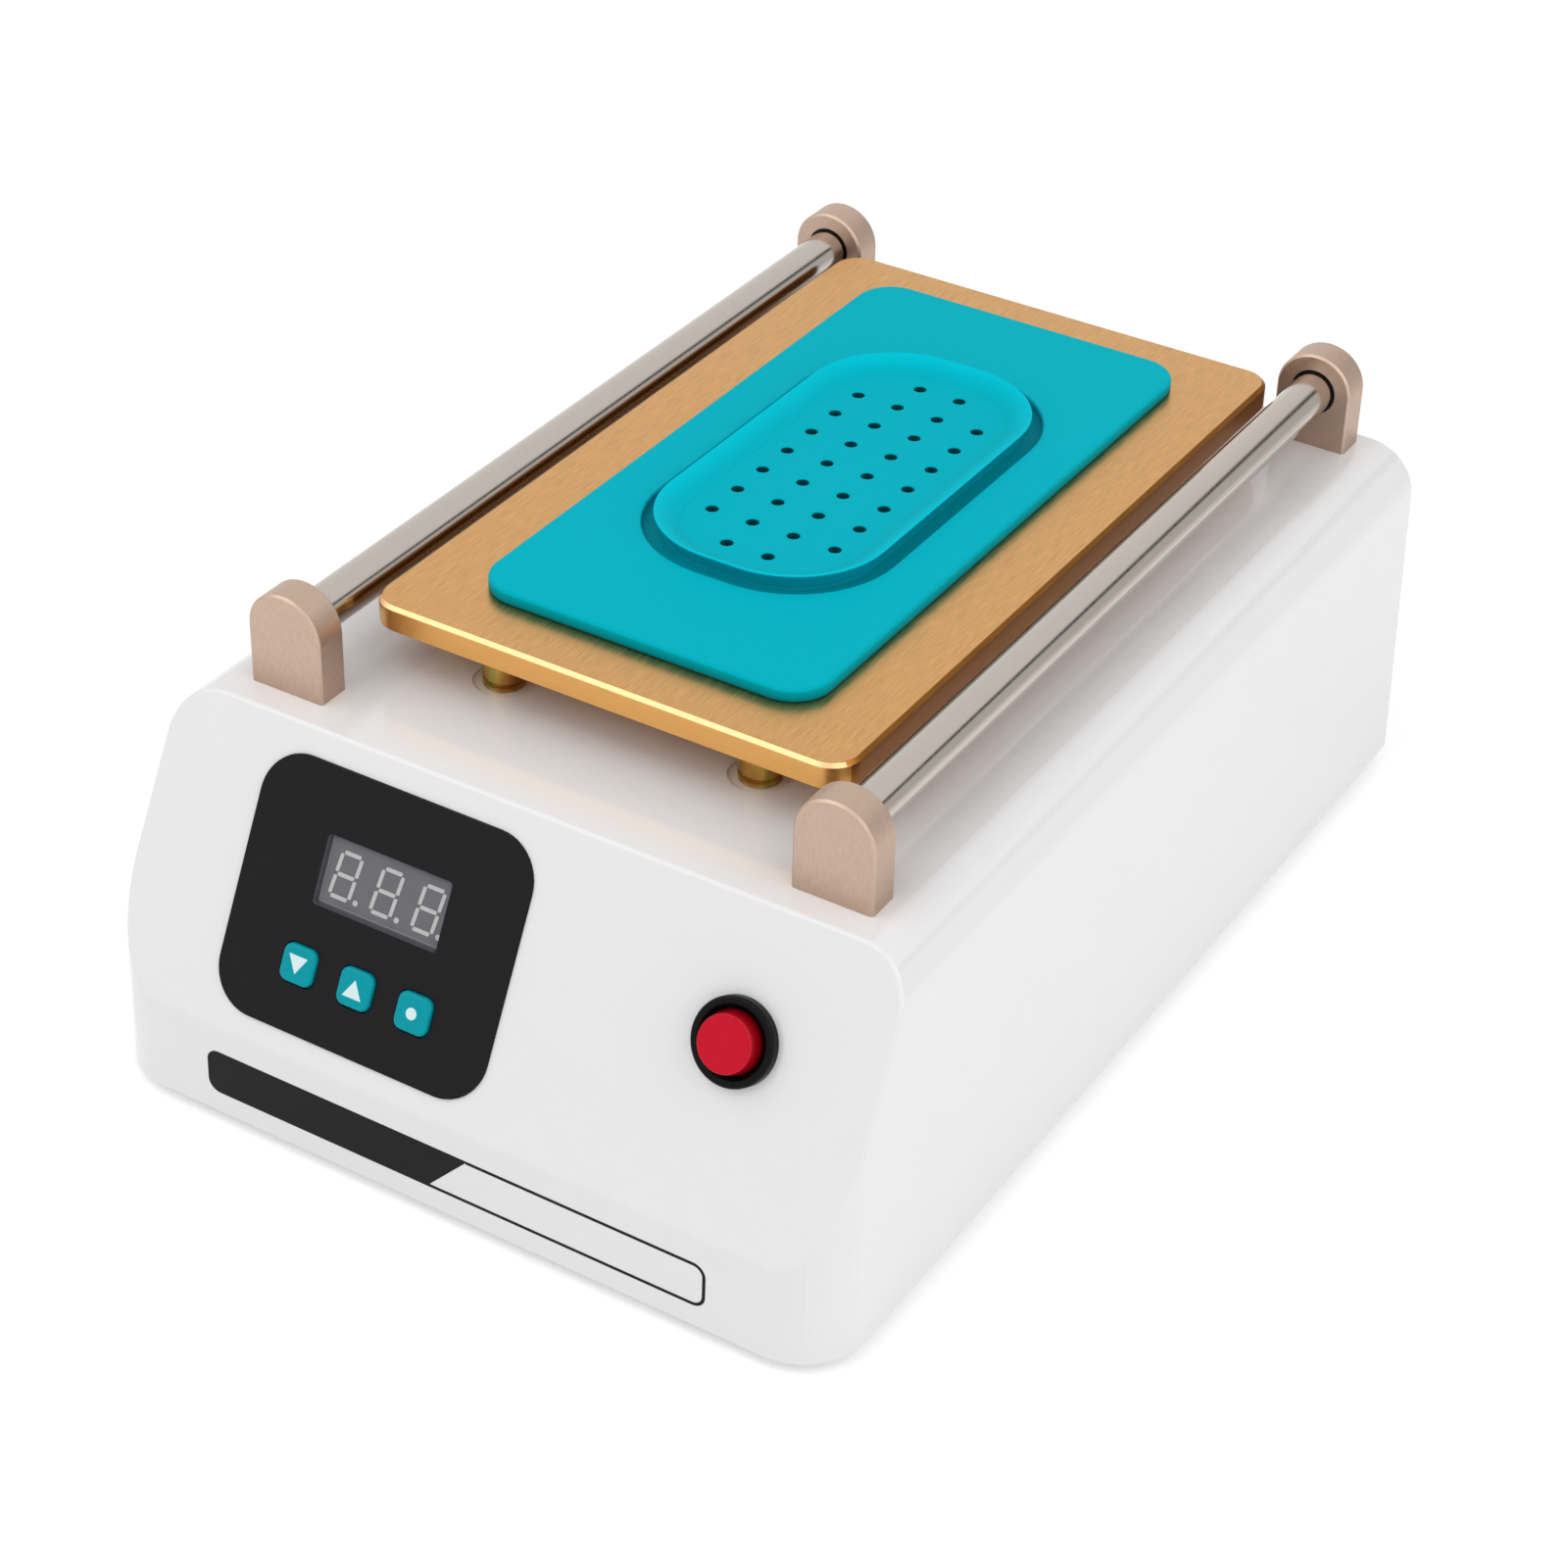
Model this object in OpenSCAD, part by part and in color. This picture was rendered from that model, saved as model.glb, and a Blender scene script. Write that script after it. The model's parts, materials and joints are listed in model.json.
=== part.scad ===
/* LCD screen separator: a bench heater with a vacuum mat and two wire rollers.
   The origin is the middle of the footprint, on the bench. +Y runs to the back,
   +X to the right of someone facing the controls, +Z up. All sizes are in mm. */

/* [Housing] */
// Depth of the housing at its lower edge, front to back
body_l = 260; // [240:1:300]
// Width of the housing at its lower edge
body_w = 176.4; // [166:0.2:200]
// Height of the housing without its feet
body_h = 81; // [76:0.5:100]
// Wall of the moulding
body_wall = 2.5; // [2:0.1:3.5]
// Radius of the two long top edges
top_edge_r = 11.6; // [6:0.2:18]
// Radius of the two upright front corners
corner_r = 14.2; // [8:0.2:18]
// Moulding draft of every side
draft_angle = 1.2; // [0.4:0.1:2]
// Height of the crease under the sloped face
crease_h = 22.4; // [20:0.2:28]
// How far the top edge of the sloped face stands back from the front
face_setback = 30.1; // [24:0.1:32]
// Height of the rubber feet
foot_h = 3; // [3:0.5:6]
// Radius of the rubber feet
foot_r = 8; // [6:0.5:10]
// Thickness of the steel base plate
base_t = 1.5; // [1:0.1:2.5]

/* [Posts and rollers] */
// Distance of the post centres from the middle
post_x = 64.2; // [62:0.1:66]
// Width of a post
post_w = 18; // [15:0.5:20]
// Thickness of a post
post_t = 8; // [7:0.1:10]
// Front face of the front posts, from the front of the housing
post_front = 36.6; // [34:0.1:42]
// Back face of the rear posts, from the back of the housing
post_back = 4.7; // [3:0.1:8]
// Height of the roller axis above the housing top
axis_rise = 13.6; // [12:0.1:18]
// Radius of a roller
roller_r = 4.75; // [4.4:0.05:5.2]
// Radius of the journal at each end of a roller
journal_r = 4.2; // [3.4:0.05:4.25]
// Free length of a journal between the roller and its post
journal_free = 5; // [3:0.1:7]
// Wall of the bush in each post
bush_wall = 1.05; // [0.8:0.05:1.5]
// Depth of the blind bore in each post
bore_depth = 6; // [4.5:0.1:6.2]
// Chamfer of the post faces
post_chamfer = 0.5; // [0.2:0.1:1]

/* [Heating plate] */
// Width of the plate
plate_w = 112.6; // [104:0.2:114]
// Length of the plate
plate_l = 190.4; // [182:0.2:196]
// Thickness of the plate
plate_t = 5.6; // [5:0.1:7]
// Front edge of the plate, from the front of the housing
plate_front = 53.3; // [50:0.1:56]
// Radius of the plate corners
plate_r = 6.7; // [4:0.1:9]
// Chamfer round the top of the plate
plate_chamfer = 0.8; // [0.4:0.1:1.2]
// Free height between the housing and the plate
plate_gap = 11.1; // [10.5:0.1:14]
// Distance of the standoffs from the middle
standoff_x = 30.7; // [26:0.1:36]
// Distance of the standoffs from the ends of the plate
standoff_in = 11.85; // [10:0.05:14]
// Radius of a standoff
standoff_r = 4.5; // [4:0.1:5.5]
// Radius of the recess round the foot of a standoff
recess_r = 6.6; // [6:0.1:8]

/* [Suction mat] */
// Width of the mat
mat_w = 80; // [76:0.5:90]
// Length of the mat
mat_l = 163; // [150:0.5:170]
// Thickness of the mat
mat_t = 3; // [2.5:0.1:4]
// Radius of the mat corners
mat_r = 9; // [4:0.5:14]
// Width across the moat
moat_w = 57; // [55:0.5:62]
// Length across the moat
moat_l = 107; // [104:0.5:116]
// Corner radius of the moat
moat_r = 24.3; // [20:0.1:27]
// Height of the lip above the mat
lip_rise = 2.6; // [1.5:0.1:4]
// Distance between the suction holes
hole_pitch = 10; // [9:0.1:10.6]
// Diameter of a suction hole
hole_d = 2.8; // [2:0.1:4]

/* [Controls] */
// Width of the black control panel
panel_w = 66; // [60:0.5:72]
// Height of the control panel, up the slope
panel_h = 55.2; // [52:0.2:58]
// Corner radius of the control panel
panel_r = 10; // [6:0.5:12]
// Middle of the panel, from the left side of the housing
panel_in = 60.6; // [54:0.1:64]
// Middle of the panel, up the slope from the crease
panel_up = 32.3; // [31:0.1:34]
// How far the panel stands out of the slope
panel_proud = 0.6; // [0.3:0.1:1]
// Size of a key cap
key_size = 8; // [7:0.1:9]
// Distance between the keys
key_pitch = 14.2; // [13:0.1:15]
// Travel of a key
key_travel = 0.6; // [0.4:0.1:0.8]
// Width of the display
display_w = 30.2; // [28:0.1:34]
// Height of the display
display_h = 14.6; // [13:0.1:16]
// Middle of the push button, from the right side of the housing
button_in = 32.5; // [28:0.1:38]
// Middle of the push button, up the slope from the crease
button_up = 38.5; // [34:0.1:42]
// Radius of the push button's bezel
bezel_r = 8.9; // [8.5:0.1:10]
// Radius of the red cap
cap_r = 5.8; // [5:0.1:6.3]
// Travel of the push button
cap_travel = 2.6; // [1.5:0.1:3]

/* [Back] */
// Middle of the power inlet, from the middle of the housing
inlet_x = 48; // [40:1:52]
// Height of the inlet and the switch above the bench
rear_z = 34; // [30:1:44]
// Middle of the power switch, from the middle of the housing
switch_x = 4; // [-6:1:8]
// Tilt of the rocker to each side
rocker_tilt = 11; // [8:1:13]

/* [Hidden] */

$fn = 64;
// fine is for large round forms, low for the small ones inside
fine = 96;
low = 32;
// eps lets cuts run past a face, over is how far a bore starts before the face it opens
eps = 0.02;
over = 1;
far = 400;
// seat is the gap of a close fit between fixed pieces, hole_gap that of a clearance hole
seat = 0.05;
hole_gap = 0.2;
// run is the radial gap of a turning fit, clear the gap beside any sliding piece
run = 0.05;
clear = 0.3;

// the housing's planes
front_y = -body_l / 2;
back_y = body_l / 2;
left_x = -body_w / 2;
right_x = body_w / 2;
base_z = foot_h;
top_z = base_z + body_h;
draft = tan(draft_angle);
crease_z = base_z + crease_h;
crease_y = front_y + crease_h * draft;
face_top_y = front_y + face_setback;
face_tilt = atan2(top_z - crease_z, face_top_y - crease_y);
inner_top = top_z - body_wall;
floor_z = base_z + base_t;
// a cut through the wall starts inside it and ends outside it
cut_low = -body_wall - 2;
cut_h = body_wall + 6;

// screws: one size for all but the standoffs, and how far each kind goes into its last piece
screw_r = 1.5;
screw_head_r = 2.75;
screw_head_h = 2;
foot_bite = 2.5;
base_bite = 9;
board_bite = 3.5;
inlet_bite = 3;
spacer_bite = 3.5;

// bosses for the base plate, the rubber feet, and the vents in the base and the back
boss_in = 3.2;
boss_x = body_w / 2 - body_wall - boss_in;
boss_front = 40;
boss_rear = 16;
boss_ys = [front_y + boss_front, front_y + body_l / 2 + 5, back_y - boss_rear];
boss_h = 14;
boss_r = 4;
foot_in = 22;
foot_xs = [left_x + foot_in, right_x - foot_in];
foot_ys = [front_y + foot_in, back_y - foot_in];
foot_web = 1;
foot_chamfer = 0.6;
foot_pocket = 0.5;
foot_screw_h = 1.3;
bottom_vent_count = 9;
bottom_vent_w = 2;
bottom_vent_l = 44;
bottom_vent_pitch = 4;
bottom_vent_x = -8;
bottom_vent_y = 40;
vent_count = 7;
vent_pitch = 6;
vent_w = 3;
vent_h = 24;
vent_in = 40.2;
vent_x = left_x + vent_in;

// posts, bushes and rollers
axis_z = top_z + axis_rise;
front_post_y = front_y + post_front + post_t;
rear_post_y = back_y - post_back - post_t;
post_ys = [front_post_y - post_t / 2, rear_post_y + post_t / 2];
post_screw_x = 5.5;
post_screw_in = 5.5;
post_screw_end = 0.5;
bush_r = journal_r + run;
bore_r = bush_r + bush_wall;
bush_sunk = 0.3;
journal_gap = 0.4;
journal_l = journal_free + bore_depth - journal_gap;
journal_chamfer = 0.4;
roller_chamfer = 0.3;
roller_y0 = front_post_y + journal_free;
roller_y1 = rear_post_y - journal_free;
roller_l = roller_y1 - roller_y0;

// plate, standoffs and what hangs under the plate
plate_z = top_z + plate_gap;
mat_z = plate_z + plate_t;
plate_y = front_y + plate_front + plate_l / 2;
standoff_ys = [plate_y - plate_l / 2 + standoff_in, plate_y + plate_l / 2 - standoff_in];
recess_depth = 0.6;
stud_r = 2;
stud_l = 3.5;
stud_room = 0.3;
standoff_bite = 5;
standoff_bore = 7;
standoff_head_r = 3.5;
standoff_head_h = 2.4;
pad_margin = 4;
pad_corner_r = 4;
pad_w = plate_w - 2 * pad_margin;
pad_l = plate_l - 2 * (standoff_in + standoff_r + pad_margin);
pad_t = 1.5;
insulation_t = 2;
under_z = plate_z - pad_t - insulation_t;
pad_screw_edge = 6;
pad_screw_x = pad_w / 2 - pad_screw_edge;
pad_screw_y = pad_l / 2 - pad_screw_edge;
pad_screw_in = 4;
sensor_at = [-18, -30];
sensor_r = 2;
sensor_in = 2.8;
sensor_room = 0.2;
sensor_flange_r = 3.5;
sensor_flange_t = 1;
fuse_at = [26, 20];
fuse_r = 2;
fuse_l = 10;
fuse_wire_r = 0.5;
fuse_wire_l = 8;

// suction: grooves in the plate, port, fitting and hose
// rows of suction holes: [place across in pitches, copies to each side of the middle]
hole_rows = [[-1.5, 3], [-0.5, 4], [0.5, 4], [1.5, 3]];
groove_w = 2.4;
groove_d = 1.5;
port_r = 2.6;
port_room = 0.4;
centre_hole_r = 7;
hex_h = 4;
hex_r = 4.6;
fitting_bore = 0.8;
barb_r = 1.7;
barb_l = 9;
barb_step = 0.4;
barb_pitch = 3;
hose_r = 3;
hose_inner = 2;
hose_gap = 0.3;
hose_sides = 10;

// section of the mat's lip: insets from the moat's edge at its foot, top and inner foot
moat_floor = 1;
lip_foot = 4.8;
lip_top = 2.5;
lip_edge = 0.5;
lip_inner = 8.2;
field_drop = 0.15;
mat_chamfer = 0.3;
mat_overlap = 0.1;

// grommets in the housing top
grommet_r = 6.5;
grommet_lip = 1.8;
grommet_t = 1.2;
grommet_chamfer = 0.4;
lead_grommet_r = 4.5;
lead_hole_r = 3.2;
lead_x = 12;
lead_back = 6;
lead_y = plate_y + pad_l / 2 + lead_back;
lead_r = 1.2;
lead_dx = 1.6;
lead_drop = 8;
lead_sides = 8;

// places on the sloped face, and depths under it
panel_x = left_x + panel_in;
button_x = right_x - button_in;
keys_below = 13.4;
key_row = panel_up - keys_below;
display_above = 6.9;
display_up = panel_up + display_above;
display_right = 0.5;
display_x = panel_x + display_right;
display_r = 0.8;
display_sunk = 1.2;
panel_t = 1.2;
panel_seat = panel_t - panel_proud;
panel_rim = 4;
panel_gap = 0.1;
board_depth = 7.2;
board_t = 1.6;
board_wider = 6;
board_shorter = 2;
board_r = 2;
display_face = panel_proud - display_sunk;
board_top = display_face - board_depth;
board_boss_in = 0.5;
board_boss_dy = 18;
board_boss_r = 3.2;
board_boss_bore = 4;
board_boss_gap = 0.8;
board_boss_xs = [panel_x - panel_w / 2 + board_boss_in, panel_x + panel_w / 2 - board_boss_in];
board_boss_ups = [panel_up - board_boss_dy, panel_up + board_boss_dy];
// parts on the back of the controller board: [x, up, width, length, height]
board_parts = [[-12, 4, 12, 10, 2], [14, -6, 20, 6, 7]];
part_r = 0.5;

// keys and their switches
key_xs = [for (k = [-1:1]) panel_x + 0.2 + k * key_pitch];
key_r = 2;
key_top = 1.6;
key_flange = 1;
key_flange_t = 1;
key_stem_r = 1.6;
key_stem_l = 0.4;
key_chamfer = 0.3;
key_overlap = 0.1;
flange_top = -panel_seat - clear;
flange_low = flange_top - key_flange_t;
stem_low = flange_low - key_stem_l;
plunger_top = stem_low - key_travel - clear;
plunger_r = 1.7;
tact_w = 6;
tact_h = 3.5;
tact_r = 0.4;

// digits of the display
digit_pitch = 10.15;
digit_right = 0.5;
digit_h = 9.7;
digit_w = 5.6;
digit_slant = 5;
segment_w = 1.3;
segment_gap = 0.18;
segment_t = 0.15;
point_r = 0.6;
point_right = 0.8;

// push button: heights out of the sloped face
bezel_h = 2.5;
bezel_lip = 0.4;
bezel_edge = 0.8;
cap_top = 4.6;
cap_low = -6;
cap_chamfer = 0.5;
collar_w = 0.8;
lip_low = -1;
barrel_r = 7.8;
barrel_l = 18;
well_gap = 0.4;
well_low = cap_low - cap_travel - well_gap;
nut_r = 11;
nut_h = 3;
button_tab = [2.8, 0.5, 8];
button_tab_x = 3;

// power inlet: sizes are [width, height, depth], heights are out of the back
inlet_body = [27, 20, 17];
inlet_body_r = 2;
inlet_flange = [50, 23, 2.6];
inlet_flange_r = 3;
inlet_web = 1;
inlet_screw_x = 20;
inlet_head_gap = 0.1;
cavity_w = 24;
cavity_h = 16;
cavity_low = -14;
cavity_cut = 4.5;
blade_w = 2;
blade_h = 4;
blade_at = [[-7, -2], [0, 2], [7, -2]];
tab_t = 0.8;
tab_l = 8;

// power switch
frame_body = [12.8, 18.8, 14];
frame_body_r = 1;
frame_flange = [15, 21, 2];
frame_flange_r = 1.5;
rocker_w = 10;
rocker_r = 8.6;
rocker_dip = 2.6;
rocker_low = -3;
rocker_pin = 1.2;
pivot_depth = 3;
pocket_floor = 8.4;
switch_tab = [4.8, 0.8, 8];
switch_tab_y = 4;

// mains board, on spacers beside the right wall; its tail runs back under the lead grommet
board_in = 17.2;
board_back = 24;
board_span = [62, 73.85];
board_xs = [right_x - board_in - board_span[0], right_x - board_in];
board_ys = [lead_y - board_back - board_span[1], lead_y - board_back];
board_edge = 4;
board_tail = 17.15;
spacer_h = 8;
spacer_r = 3;
power_board_t = 1.6;
parts_z = floor_z + spacer_h + power_board_t;
// places of its parts, from its front left screw
coil_at = [44, 20.5];
coil_core = [35, 15, 29];
coil_bobbin = [24, 30, 33];
coil_foot = [38, 33, 3];
coil_lift = 2;
// capacitors: [x, y, radius, height]
can_list = [[15, 20.5, 9, 26], [8, 40.5, 5, 16], [8, 54.5, 5, 16]];
can_groove = 0.5;
can_edge = 0.6;
relay_at = [51, 50.5];
relay_size = [15, 19, 15.5];
relay_r = 0.8;
sink_at = [39, 65.5];
sink_back_t = 3;
sink_h = 28;
fin_count = 8;
fin_pitch = 5;
fin_t = 1.2;
fin_l = 14;
term_at = [15, 85];
term_x = board_xs[0] + term_at[0];
term_y = board_ys[0] + term_at[1];
term_pitch = 5.08;
term_h = 10;
term_l = 8;
term_screw_r = 2;
term_screw_d = 2;
term_wire_z = 5;

// vacuum pump, lying beside the left wall
pump_in = 35.2;
pump_x = left_x + pump_in;
pump_front = 6.5;
pump_y = plate_y - pump_front;
pump_rise = 19;
pump_z = floor_z + pump_rise;
motor_r = 13.8;
motor_l = 38;
motor_y = 30;
motor_edge = 1;
bearing_r = 5;
bearing_h = 2.5;
motor_tab = [3, 0.6, 6];
motor_tab_x = 8;
head_w = 30;
head_l = 26;
head_h = 34;
head_r = 3;
cover_t = 3.5;
nozzle_r = 3.2;
nozzle_l = 4;
nozzle_up = 10;
head_screw_x = head_w / 2 - 3.5;
head_screw_z = head_h / 2 - 3.5;
head_screw_l = 14;
head_screw_room = 1;
bracket_l = 16;
bracket_wall = 2;
bracket_foot = [48, 4];
bracket_web = [26, 20];
bracket_web_in = 4;
bracket_screw_x = 19;
bracket_screw_end = 0.4;

// suction hose from the plate's fitting down to the pump, and how far along each bend is
hose_end_x = pump_x + head_w / 2 + nozzle_l + hose_gap;
hose_end_z = pump_z + nozzle_up;
hose_drop = 10;
hose_bends = [[0.06, 0.92, 18.5], [0.24, 0.5, 8.5], [0.5, 0.15, 2], [0.77, 0, 0]];
hose_path = concat([[0, plate_y, plate_z - hex_h - hose_gap]],
    [for (k = [0:2]) [0, plate_y, top_z - k * hose_drop]],
    [for (b = hose_bends)
        [b[0] * hose_end_x, pump_y + b[1] * (plate_y - pump_y), hose_end_z + b[2]]],
    [[hose_end_x, pump_y, hose_end_z]]);

// rounded plan outlines of the housing, moved inwards by inset
module plan(inset) {
    r = corner_r - inset;
    side = body_w / 2 - corner_r;
    translate([left_x + inset, front_y + corner_r])
        square([body_w - 2 * inset, body_l - corner_r - inset]);
    translate([-side, front_y + inset])
        square([2 * side, corner_r]);
    for (x = [-side, side])
        translate([x, front_y + corner_r])
            circle(r = r, $fn = fine);
}

// cross-section of the housing, seen from the front
module section(inset, drop) {
    r = top_edge_r - inset;
    z_low = base_z - drop;
    cz = top_z - top_edge_r;
    edge = (body_w / 2 - inset) * cos(draft_angle) + base_z * sin(draft_angle);
    cx = (edge - r - cz * sin(draft_angle)) / cos(draft_angle);
    low_x = (edge - z_low * sin(draft_angle)) / cos(draft_angle);
    tx = cx + r * cos(draft_angle);
    tz = cz + r * sin(draft_angle);
    polygon([[-low_x, z_low], [low_x, z_low], [tx, tz], [cx, top_z - inset],
        [-cx, top_z - inset], [-tx, tz]]);
    for (x = [-cx, cx])
        translate([x, cz])
            circle(r = r, $fn = fine);
}

// moves its children onto the sloped face: x across, y up the slope, z out of it
module on_face(x = 0, up = 0, out = 0) {
    translate([0, crease_y, crease_z])
        rotate([face_tilt, 0, 0])
            translate([x, up, out])
                children();
}

// the drafted form of the housing, with every side moved inwards by inset
module body_form(inset, drop = 0) {
    side = body_w / 2 - corner_r;
    corner_h = body_h - top_edge_r;
    z_low = base_z - drop;
    z_high = base_z + corner_h;
    difference() {
        union() {
            translate([0, back_y - inset, 0])
                rotate([90, 0, 0])
                    linear_extrude(height = body_l - corner_r - inset)
                        section(inset, drop);
            translate([-side, 0, 0])
                rotate([90, 0, 90])
                    linear_extrude(height = 2 * side)
                        polygon([[front_y + inset - drop * draft, z_low],
                            [front_y + corner_r + eps, z_low],
                            [front_y + corner_r + eps, z_high],
                            [front_y + inset + corner_h * draft, z_high]]);
            for (x = [-side, side])
                translate([x, front_y + corner_r, z_low])
                    cylinder(h = corner_h + drop, r1 = corner_r - inset + drop * draft,
                        r2 = corner_r - inset - corner_h * draft, $fn = fine);
        }
        on_face(0, 0, -inset)
            translate([-far / 2, -far / 2, 0])
                cube([far, far, far]);
        translate([-far / 2, back_y - inset, base_z])
            rotate([draft_angle, 0, 0])
                translate([0, 0, -far / 2])
                    cube([far, far, far]);
    }
}

// moves its children onto the back: x to its left as seen from behind, y up, z out of it
module on_back(x, z = rear_z) {
    translate([x, back_y - (z - base_z) * draft, z])
        rotate([draft_angle, 0, 0])
            rotate([90, 0, 180])
                children();
}

// a block with round upright corners, centred, standing on its base
module rounded_block(w, l, h, r) {
    linear_extrude(height = h) {
        square([w - 2 * r, l], center = true);
        square([w, l - 2 * r], center = true);
        for (x = [-1, 1], y = [-1, 1])
            translate([x * (w / 2 - r), y * (l / 2 - r)])
                circle(r = r);
    }
}

// a slab with round corners whose edge follows pts, a list of [inset, height] from its base up
module edge_slab(w, l, r, pts) {
    low_z = pts[0][1];
    high_z = pts[len(pts) - 1][1];
    back = [for (i = [len(pts) - 1:-1:0]) pts[i]];
    for (x = [-1, 1], y = [-1, 1])
        translate([x * (w / 2 - r), y * (l / 2 - r), 0])
            rotate_extrude()
                polygon(concat([[0, low_z]], [for (p = pts) [r - p[0], p[1]]], [[0, high_z]]));
    rotate([90, 0, 0])
        linear_extrude(height = l - 2 * r, center = true)
            polygon(concat([for (p = pts) [w / 2 - p[0], p[1]]], [for (p = back) [p[0] - w / 2, p[1]]]));
    rotate([90, 0, 90])
        linear_extrude(height = w - 2 * r, center = true)
            polygon(concat([for (p = pts) [l / 2 - p[0], p[1]]], [for (p = back) [p[0] - l / 2, p[1]]]));
}

// a ring that follows a rounded rectangle; pts is its section as [inset, height]
module edge_ring(w, l, r, pts) {
    for (k = [0:3]) {
        along = k % 2 == 0 ? l : w;
        across = k % 2 == 0 ? w : l;
        rotate([0, 0, 90 * k]) {
            translate([across / 2 - r, along / 2 - r, 0])
                rotate_extrude(angle = 90)
                    polygon([for (p = pts) [r - p[0], p[1]]]);
            rotate([90, 0, 0])
                linear_extrude(height = along - 2 * r, center = true)
                    polygon([for (p = pts) [across / 2 - p[0], p[1]]]);
        }
    }
}

// a screw standing on its head's seat: the head below, the shank above
module screw(shank, r = screw_r, head_r = screw_head_r, head_h = screw_head_h) {
    translate([0, 0, -head_h])
        cylinder(h = head_h, r = head_r, $fn = low);
    cylinder(h = shank, r = r, $fn = low);
}

// the moulded housing: drafted sides, a sloped front, bosses and every opening
module housing_shell() {
    color("#EBEAEB")
    difference() {
        union() {
            difference() {
                body_form(0);
                body_form(body_wall, 1);
            }
            intersection() {
                body_form(body_wall / 2);
                for (x = [-boss_x, boss_x], y = boss_ys)
                    translate([x, y, floor_z])
                        cylinder(h = boss_h, r = boss_r);
            }
            for (x = board_boss_xs, up = board_boss_ups)
                on_face(x, up, board_top)
                    cylinder(h = board_depth - panel_seat - board_boss_gap, r = board_boss_r);
        }
        for (x = board_boss_xs, up = board_boss_ups)
            on_face(x, up, board_top - over)
                cylinder(h = board_boss_bore + over, r = screw_r + seat, $fn = low);
        for (x = [-boss_x, boss_x], y = boss_ys)
            translate([x, y, floor_z - over])
                cylinder(h = base_bite + 3, r = screw_r + seat, $fn = low);
        for (x = [-post_x, post_x], dx = [-post_screw_x, post_screw_x], y = post_ys)
            translate([x + dx, y, inner_top - over])
                cylinder(h = body_wall + 2 * over, r = screw_r + hole_gap, $fn = low);
        for (x = [-standoff_x, standoff_x], y = standoff_ys)
            translate([x, y, 0]) {
                translate([0, 0, top_z - recess_depth])
                    cylinder(h = 2, r = recess_r);
                translate([0, 0, inner_top - over])
                    cylinder(h = body_wall + over, r = stud_r + hole_gap, $fn = low);
            }
        translate([0, plate_y, inner_top - over])
            cylinder(h = body_wall + 2 * over, r = grommet_r);
        translate([lead_x, lead_y, inner_top - over])
            cylinder(h = body_wall + 2 * over, r = lead_grommet_r);
        on_face(panel_x, panel_up, -panel_seat)
            rounded_block(panel_w + 2 * panel_gap, panel_h + 2 * panel_gap, 5, panel_r + panel_gap);
        on_face(panel_x, panel_up, cut_low)
            rounded_block(panel_w - 2 * panel_rim, panel_h - 2 * panel_rim, cut_h, panel_r - panel_rim);
        on_face(button_x, button_up, cut_low)
            cylinder(h = cut_h, r = barrel_r + hole_gap);
        on_back(inlet_x)
            translate([0, 0, cut_low])
                rounded_block(inlet_body[0] + 2 * hole_gap, inlet_body[1] + 2 * hole_gap, cut_h,
                    inlet_body_r);
        for (dx = [-inlet_screw_x, inlet_screw_x])
            on_back(inlet_x + dx)
                translate([0, 0, cut_low])
                    cylinder(h = cut_h, r = screw_r + seat, $fn = low);
        on_back(switch_x)
            translate([0, 0, cut_low])
                rounded_block(frame_body[0] + hole_gap, frame_body[1] + hole_gap, cut_h, frame_body_r);
        for (i = [0:vent_count - 1])
            on_back(vent_x + (i - (vent_count - 1) / 2) * vent_pitch)
                translate([0, 0, cut_low])
                    rounded_block(vent_w, vent_h, cut_h, vent_w / 2 - seat);
    }
}

// the flat steel base with its vents and its screw and foot holes
module base_plate() {
    color("#8D9195")
    difference() {
        translate([0, 0, base_z])
            linear_extrude(height = base_t)
                plan(body_wall + clear);
        for (x = [-boss_x, boss_x], y = boss_ys)
            translate([x, y, 0])
                cylinder(h = far, r = screw_r + hole_gap, $fn = low);
        for (x = foot_xs, y = foot_ys)
            translate([x, y, 0])
                cylinder(h = far, r = screw_r + seat, $fn = low);
        for (dx = [-bracket_screw_x, bracket_screw_x])
            translate([pump_x + dx, pump_y + motor_y, 0])
                cylinder(h = far, r = screw_r + seat, $fn = low);
        for (x = board_xs, y = board_ys)
            translate([x, y, 0])
                cylinder(h = far, r = screw_r + hole_gap, $fn = low);
        for (i = [0:bottom_vent_count - 1])
            translate([bottom_vent_x + (i - (bottom_vent_count - 1) / 2) * bottom_vent_pitch,
                bottom_vent_y, 0])
                rounded_block(bottom_vent_w, bottom_vent_l, far, bottom_vent_w / 2 - seat);
    }
}

// four rubber feet, hollowed for their screws
module rubber_feet() {
    color("#2A2A2C")
    for (x = foot_xs, y = foot_ys)
        translate([x, y, 0])
            difference() {
                rotate_extrude()
                    polygon([[0, 0], [foot_r - foot_chamfer, 0], [foot_r, foot_chamfer],
                        [foot_r, foot_h], [0, foot_h]]);
                translate([0, 0, -over])
                    cylinder(h = foot_h + 2 * over, r = screw_r + seat, $fn = low);
                translate([0, 0, -over])
                    cylinder(h = foot_h - foot_web + over, r = screw_head_r + foot_pocket, $fn = low);
            }
}

module foot_screws() {
    color("#9FA3A6")
    for (x = foot_xs, y = foot_ys)
        translate([x, y, foot_h - foot_web])
            screw(foot_web + base_t + foot_bite, head_h = foot_screw_h);
}

module base_screws() {
    color("#9FA3A6")
    for (x = [-boss_x, boss_x], y = boss_ys)
        translate([x, y, base_z])
            screw(base_t + base_bite);
}

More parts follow.
